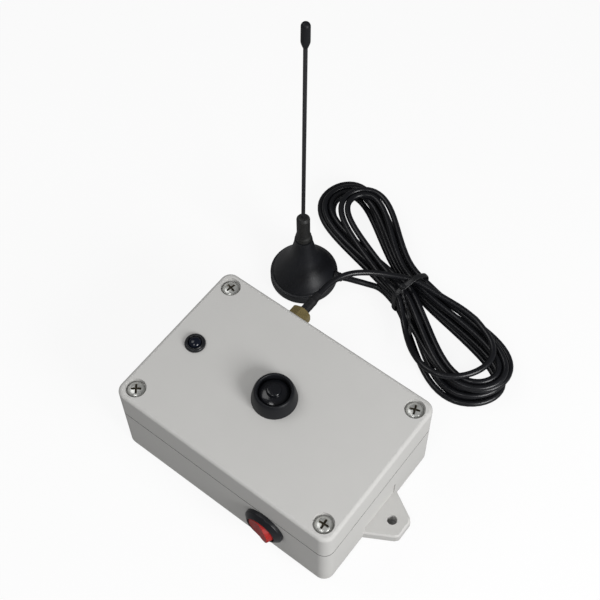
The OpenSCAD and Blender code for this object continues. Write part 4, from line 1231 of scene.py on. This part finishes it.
@dataclass
class PushButton(Assembly):
    """The push button: skirted body, domed cap and what holds it under the lid."""

    spring_floor: float = 29.0
    spring_low: float = 29.45
    spring_high: float = 36.25
    spring_radius: float = 3.9
    spring_wire: float = 0.6
    spring_turns: int = 5
    pressed: float = 0.73
    slot_x: float = 2.6
    slot_half: Pair = (0.45, 0.95)
    slot_z: Pair = (26.0, 30.0)

    def spring(self) -> None:
        """Winds the return spring, which this script doesn't squeeze as the cap goes down."""
        steps = 24 * self.spring_turns
        coil = []
        for i in range(steps + 1):
            a = 2.0 * math.pi * self.spring_turns * i / steps
            rise = (self.spring_high - self.spring_low) * i / steps
            coil.append((self.spring_radius * math.cos(a), self.spring_radius * math.sin(a),
                         self.spring_low + rise))
        spring = Bench.swept("return_spring", coil, self.spring_wire, self.spring_wire)
        self.fit(Bench.soften(spring), PLATED_ZINC, "zinc_steel", "push_button_spring")
        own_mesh(spring)

    def body(self) -> Piece:
        """Turns the skirt and the threaded neck, with the cap's well in it.

        Returns:
            The button's body.
        """
        rings = [(5.3, 27.0), (5.6, 27.3)]
        rings += Profile.thread(5.9, 27.4, 39.4, 0.8, 0.3)
        rings += [(5.6, 39.6), (5.6, 40.0), (8.75, 40.0), (8.85, 40.1), (8.83, 40.5)]
        rings += Profile.smooth([(8.75, 41.0), (8.42, 43.0), (7.95, 44.9), (7.68, 45.7),
                                 (7.42, 46.2), (7.12, 46.5), (6.85, 46.6), (6.6, 46.5),
                                 (6.38, 46.25), (6.25, 45.8)], 3)
        rings += [(6.2, 45.3), (6.2, 40.4), (2.58, 40.4), (2.58, 38.4), (4.8, 38.4), (4.8, 29.0),
                  (0.2, 29.0)]
        body = Bench.turned("button_body", rings, sides=96)
        half_x, half_y = self.slot_half
        low, high = self.slot_z
        slots = [Bench.block("slot", (x - half_x, -half_y, low), (x + half_x, half_y, high))
                 for x in (-self.slot_x, self.slot_x)]
        return Bench.soften(Bench.cut(body, *slots))

    def cap(self) -> Piece:
        """Turns the cap with its domed top, raised disc, plunger and collar.

        Returns:
            The cap.
        """
        rings = [(2.3, 33.5), (2.5, 33.7), (2.5, 36.7), (4.3, 36.7), (4.4, 36.8), (4.4, 38.2),
                 (4.3, 38.3), (2.5, 38.3), (2.5, 42.8), (5.75, 42.8), (5.9, 42.95),
                 (5.9, 43.7)]
        rings += Profile.smooth([(5.88, 44.0), (5.78, 44.3), (5.45, 44.62), (4.8, 45.02),
                                 (4.0, 45.38), (3.3, 45.6), (2.98, 45.68), (2.87, 45.8),
                                 (2.8, 46.55), (2.72, 46.95), (2.5, 47.2), (2.2, 47.3)], 3)
        rings += [(1.2, 47.3), (0.2, 47.3)]
        return Bench.soften(Bench.turned("button_cap", rings, sides=96))

    def build(self) -> None:
        """Makes the button."""
        self.fit(self.body(), DULL_BLACK, "black_plastic", "push_button_bezel")
        self.fit(self.cap(), CAP_BLACK, "gloss_black", "push_button_cap", body=Body.BUTTON)
        self.refine("push_button_washer", "button_washer", PLATED_ZINC, "zinc_steel", 0.08)
        self.refine("push_button_nut", "button_nut", PLATED_ZINC, "zinc_steel", 0.15)
        self.refine("push_button_terminals", "button_lugs", TINNED, "contact_brass", 0.08)
        self.dress("push_button_contact", TINNED)
        self.spring()


@dataclass
class Lamp(Assembly):
    """The indicator lamp with its holder."""

    place: Point = (-38.6, 0.0, 0.0)

    def build(self) -> None:
        """Makes the lamp."""
        rings = [(2.56, 31.0), (3.0, 31.0)]
        rings += Profile.thread(3.2, 31.2, 39.4, 0.7, 0.22)
        rings += [(3.0, 40.0), (4.0, 40.0), (4.1, 40.1), (4.1, 40.45)]
        rings += Profile.smooth([(4.06, 40.6), (3.85, 41.0), (3.55, 41.2), (3.38, 41.22),
                                 (3.25, 41.3), (3.05, 41.48), (2.85, 41.45), (2.66, 41.25),
                                 (2.56, 40.9)], 3)
        rings.append((2.56, 31.0))
        holder = Bench.turned("lamp_holder_ring", rings, self.place, closed=False)
        self.fit(Bench.soften(holder), SATIN_BLACK, "black_plastic", "lamp_holder")
        dome = [(2.8, 29.8), (2.9, 29.9), (2.9, 30.9), (2.8, 31.0), (2.5, 31.0), (2.5, 36.0)]
        dome += Profile.smooth([(2.5, 40.7), (2.46, 41.05), (2.25, 41.5), (1.85, 41.95),
                                (1.2, 42.3), (0.6, 42.45), (0.15, 42.5)], 3)
        lens = Bench.turned("lamp_dome", dome, self.place, sides=64)
        self.fit(Bench.soften(lens), LENS_SMOKE, "lamp_lens", "lamp_lens")
        nut = [(3.25, 35.1), (4.9, 35.1), (5.0, 35.2), (5.0, 37.4), (4.9, 37.5), (3.25, 37.5),
               (3.25, 35.1)]
        ring = Bench.turned("lamp_nut", nut, self.place, sides=36, closed=False)
        self.fit(Bench.soften(ring, 0.1), SATIN_BLACK, "black_plastic", "lamp_ring_nut")
        self.dress("lamp_leads", TINNED)


@dataclass
class PowerRocker(Assembly):
    """The round rocker switch in the long side."""

    place: Point = (21.6, 0.0, 16.4)
    pivot: float = 35.05
    pin_radius: float = 0.83
    pin_half: float = 7.65
    wing_x: Pair = (6.9, 8.0)
    wing_y: Pair = (-31.4, -28.1)
    wing_half: float = 2.0
    wing_taper: float = 0.45
    wing_edge: float = 0.12

    def wing(self, side: float) -> Piece:
        """Models a snap wing, which gets thinner away from the wall.

        Args:
            side: The way along x in which it stands out, -1.0 or 1.0.

        Returns:
            The wing.
        """
        x, _, z = self.place
        root, tip = (side * reach for reach in self.wing_x)
        wall, end = self.wing_y
        wing = Bench.block("wing", (x + min(root, tip), wall, z - self.wing_half),
                           (x + max(root, tip), end, z + self.wing_half))
        Bench.narrow(wing, (0.0, 1.0, 0.0), (self.wing_taper, 1.0, 1.0),
                     ((x + root) * MM, end * MM, z * MM))
        return Bench.soften(wing, self.wing_edge)

    def housing(self) -> Piece:
        """Turns the barrel and its bezel, and adds the snap wings.

        Returns:
            The housing.
        """
        rings = [(7.1, 21.0), (7.4, 21.3), (7.4, 34.0), (8.45, 34.0), (8.5, 34.06), (8.5, 35.2)]
        rings += Profile.smooth([(8.46, 35.4), (8.32, 35.62), (8.1, 35.82), (7.4, 36.4),
                                 (6.95, 36.78), (6.7, 36.98), (6.5, 37.08), (6.35, 37.05),
                                 (6.24, 36.9)], 3)
        rings += [(6.2, 36.6), (6.2, 29.2), (0.2, 29.2)]
        housing = Bench.turned("rocker_barrel", rings, self.place, Axis.MINUS_Y, sides=96)
        ends = [(self.pin_radius, way * self.pin_half) for way in (-1.0, 1.0)]
        pin = Bench.turned("pin", ends, (self.place[0], -self.pivot, self.place[2]), sides=24)
        Bench.soften(Bench.cut(housing, pin))
        return Bench.join("rocker_body", housing, self.wing(-1.0), self.wing(1.0))

    def build(self) -> None:
        """Makes the switch."""
        self.fit(self.housing(), SATIN_BLACK, "black_plastic", "rocker_housing")
        self.refine("rocker", "rocker_paddle", ROCKER_RED, "red_rocker", 0.3, segments=3,
                    body=Body.ROCKER)
        self.refine("rocker_terminals", "rocker_blades", TINNED, "contact_brass", 0.1)


# Antenna


@dataclass
class AntennaConnector(Assembly):
    """The threaded jack in the wall and the plug on the lead."""

    place: Point = (JACK_X, 0.0, JACK_Z)
    boot: Optional[Piece] = None
    plug: Optional[Piece] = None

    def part(self, name: str, rings: Sequence[Ring], closed: bool = True,
             sides: int = 64) -> Piece:
        """Turns one piece about the connector's axis."""
        return Bench.turned(name, rings, self.place, Axis.PLUS_Y, sides, closed)

    def build(self) -> None:
        """Makes the connector."""
        flange = self.part("flange", [(4.5, 29.5), (4.62, 29.6), (4.62, 31.4), (4.5, 31.5)],
                           sides=6)
        barrel = [(1.5, 27.5), (1.6, 27.6), (1.6, 31.0), (2.9, 31.0)]
        barrel += Profile.thread(3.17, 31.5, 42.5, 0.7, 0.25)
        barrel += [(2.9, 42.85), (2.35, 42.85), (2.35, 40.25), (0.2, 40.25)]
        jack = Bench.join("jack_barrel", self.part("barrel", barrel), flange)
        self.fit(Bench.soften(jack), GILT, "gilt_brass", "antenna_jack")
        self.refine("jack_lock_washer", "jack_washer", GILT, "gilt_brass", 0.08)
        self.refine("jack_nut", "jack_hexagon", GILT, "gilt_brass", 0.18)
        self.refine("coupling_nut", "coupling_hexagon", GILT, "gilt_brass", 0.1,
                    body=Body.COUPLING)
        plug = [(2.2, 40.65), (2.3, 40.75), (2.3, 42.85), (3.025, 42.85), (3.025, 43.75),
                (2.6, 43.75), (2.6, 45.9), (2.5, 46.0), (1.7, 46.0), (1.7, 51.5), (0.4, 51.5)]
        self.plug = Bench.soften(self.part("plug", plug))
        self.fit(self.plug, GILT, "gilt_brass", "plug_body")
        sleeve = [(1.75, 46.0)] + Profile.smooth(
            [(2.02, 46.05), (2.05, 46.5), (2.0, 47.6), (2.05, 48.8), (2.02, 50.2), (2.05, 51.6),
             (2.04, 52.2), (1.92, 52.7), (1.82, 53.4), (1.76, 54.4), (1.69, 55.3), (1.63, 55.95)],
            2) + [(1.36, 56.0), (1.36, 51.6), (1.75, 51.5), (1.75, 46.0)]
        self.boot = Bench.soften(self.part("sleeve", sleeve, closed=False, sides=40))
        self.fit(self.boot, SLEEVE_BLACK, "black_rubber", "cable_boot")


@dataclass
class Antenna(Assembly):
    """The whip antenna on its magnetic foot."""

    place: Point = (FOOT_X, FOOT_Y, 0.0)
    relief_turn: float = RELIEF_TURN
    relief_z: float = RELIEF_Z
    mouth_z: float = 44.0
    lean: Point = (1.4, 1.05, 106.0)

    def leaned(self, piece: Piece) -> Piece:
        """Leans a piece about the ferrule's mouth, as the thin rod stands.

        Args:
            piece: The upright piece.

        Returns:
            The same piece.
        """
        pivot = Vector((self.place[0], self.place[1], self.mouth_z)) * MM
        turn = Vector((0.0, 0.0, 1.0)).rotation_difference(Vector(self.lean))
        piece.rotation_euler = turn.to_euler()
        piece.location = pivot - turn @ pivot
        Bench.settle(piece)
        return piece

    def relief_part(self, name: str, rings: Sequence[Ring]) -> Piece:
        """Turns a piece about the axis on which the lead leaves the foot.

        Args:
            name: The piece's name.
            rings: Radius and distance from the foot's axis, in mm.

        Returns:
            The piece.
        """
        piece = Bench.turned(name, rings, sides=40)
        piece.rotation_euler = (0.0, math.radians(90.0), math.radians(self.relief_turn))
        piece.location = (self.place[0] * MM, self.place[1] * MM, self.relief_z * MM)
        Bench.settle(piece)
        return piece

    def shell(self) -> Piece:
        """Turns the bell-shaped foot with its band and the magnet's well.

        Returns:
            The shell.
        """
        rings = [(13.05, 4.8), (13.05, 0.8), (14.2, 0.8), (14.5, 1.1), (14.5, 4.4)]
        rings += Profile.smooth([(14.46, 4.75), (14.3, 4.95), (14.05, 5.02), (13.6, 5.1),
                                 (13.4, 5.25)], 3)
        rings += [(13.3, 5.6), (13.2, 6.2)]
        rings += Profile.smooth([(13.1, 6.55), (12.85, 6.95), (12.4, 7.7), (11.9, 8.5),
                                 (10.6, 10.4), (8.85, 13.0), (7.05, 16.0), (5.6, 19.4),
                                 (4.55, 24.0), (3.95, 27.0), (3.75, 29.0)], 4)
        rings += [(0.72, 29.0), (0.72, 18.0)]
        shell = Bench.turned("foot_bell", rings, self.place, sides=128)
        hole = self.relief_part("hole", [(2.25, 13.3), (2.25, 20.0)])
        return Bench.soften(Bench.cut(shell, hole))

    def build(self) -> None:
        """Makes the antenna."""
        self.fit(self.shell(), SHELL_BLACK, "black_plastic", "antenna_foot_shell")
        magnet = Bench.turned("magnet_disc", [(12.7, 0.8), (13.0, 1.1), (13.0, 4.5), (12.7, 4.8)],
                              self.place, sides=96)
        self.fit(Bench.soften(magnet), SINTER, "ferrite", "antenna_magnet")
        pad = Bench.turned("foot_pad", [(13.8, 0.0), (14.0, 0.15), (14.0, 0.7), (13.9, 0.8)],
                           self.place, sides=96)
        self.fit(Bench.soften(pad), PAD_BLACK, "gasket_rubber", "antenna_foot_pad")
        relief = [(2.1, 13.3), (2.2, 13.4), (2.2, 14.9), (2.1, 15.05), (1.9, 15.1), (1.9, 15.35),
                  (2.08, 15.45), (2.0, 15.9), (1.8, 15.98), (1.8, 16.2), (1.88, 16.3),
                  (1.78, 16.75), (1.7, 16.9), (1.32, 16.9)]
        self.fit(Bench.soften(self.relief_part("strain_relief", relief)), SLEEVE_BLACK,
                 "black_rubber", "antenna_strain_relief")
        ferrule = [(0.72, 29.0), (3.1, 29.0)] + Profile.smooth(
            [(3.25, 29.1), (3.35, 29.5), (3.35, 30.9), (3.25, 31.35), (2.95, 31.9),
             (2.8, 32.3)], 2) + [(2.8, 42.8), (2.75, 42.95), (2.05, 43.95), (1.9, 44.0),
                                 (0.72, 44.0), (0.72, 29.0)]
        self.fit(Bench.soften(Bench.turned("whip_ferrule", ferrule, self.place, closed=False)),
                 FERRULE_BLACK, "black_metal", "antenna_ferrule")
        root = Bench.turned("whip_root", [(0.5, 18.0), (0.65, 18.2), (0.65, 44.05), (0.5, 44.1)],
                            self.place, sides=24)
        rod = Bench.turned("whip_length", [(0.5, 43.9), (0.8, 44.0), (0.8, 84.0), (0.8, 143.0),
                                           (0.66, 143.1), (0.66, 149.8), (0.5, 150.0)],
                           self.place, sides=24)
        whip = Bench.join("whip_rod", root, self.leaned(rod))
        self.fit(Bench.soften(whip), WHIP_BLACK, "black_metal", "antenna_whip")
        tip = [(0.68, 142.0)] + Profile.smooth(
            [(0.9, 142.0), (1.05, 142.3), (1.36, 143.3), (1.62, 144.2), (1.73, 145.0),
             (1.73, 145.8)], 3)
        tip += Profile.arc((0.0, 151.9), 1.7, 0.0, 84.0, 9)
        tip += [(0.1, 153.6)]
        cap = self.leaned(Bench.turned("whip_cap", tip, self.place, sides=32))
        self.fit(Bench.soften(cap), DULL_BLACK, "black_plastic", "antenna_tip")


# Electronics


@dataclass
class Electronics(Assembly):
    """The board, the battery and the wires inside the enclosure."""

    board_top: float = 9.1
    can_at: Point = (-25.0, -22.5, 0.0)
    softened: dict[str, tuple[Finish, str, float]] = field(default_factory=lambda: {
        "circuit_board": (BOARD, "board_green", 0.1),
        "transmitter_module": (MODULE, "module_blue", 0.08),
        "module_shield": (TINNED, "can_steel", 0.2),
        "crystal": (TINNED, "can_steel", 0.3),
        "encoder_chip": (CHIP, "chip_black", 0.08),
        "terminal_block": (BLOCK, "block_green", 0.2),
        "battery": (CELL, "battery", 0.3),
        "battery_snap": (SATIN_BLACK, "black_plastic", 0.4)})
    plain: dict[str, Finish] = field(default_factory=lambda: {
        "board_screws": PLATED_ZINC, "battery_pad": FOAM, "button_wires": WIRE_YELLOW,
        "lamp_wires": WIRE_ORANGE, "switch_wires": WIRE_RED, "battery_wires": WIRE_BLACK,
        "antenna_pigtail": WIRE_BROWN})

    def build(self) -> None:
        """Makes the inner pieces."""
        for node, (finish, slot, edge) in self.softened.items():
            self.refine(node, f"{node}_detail", finish, slot, edge)
        top = self.board_top
        can = [(3.2, top), (3.4, top + 0.1), (3.4, top + 0.9), (3.15, top + 1.0),
               (3.15, top + 1.6), (2.95, top + 1.9), (3.15, top + 2.2), (3.15, top + 7.3),
               (3.0, top + 7.55), (2.7, top + 7.6), (0.2, top + 7.6)]
        self.fit(Bench.soften(Bench.turned("capacitor_can", can, self.can_at, sides=48)),
                 CAN, "capacitor", "capacitor")
        for node, finish in self.plain.items():
            self.dress(node, finish)


def main() -> None:
    """Builds the studio and the transmitter."""
    logging.basicConfig(level=logging.INFO, format="%(message)s")
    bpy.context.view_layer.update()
    Studio().build()
    connector = AntennaConnector()
    connector.build()
    AntennaLead().build(connector.boot, connector.plug)
    Enclosure().build()
    PushButton().build()
    Lamp().build()
    PowerRocker().build()
    Antenna().build()
    Electronics().build()


if __name__ == "__main__":
    main()
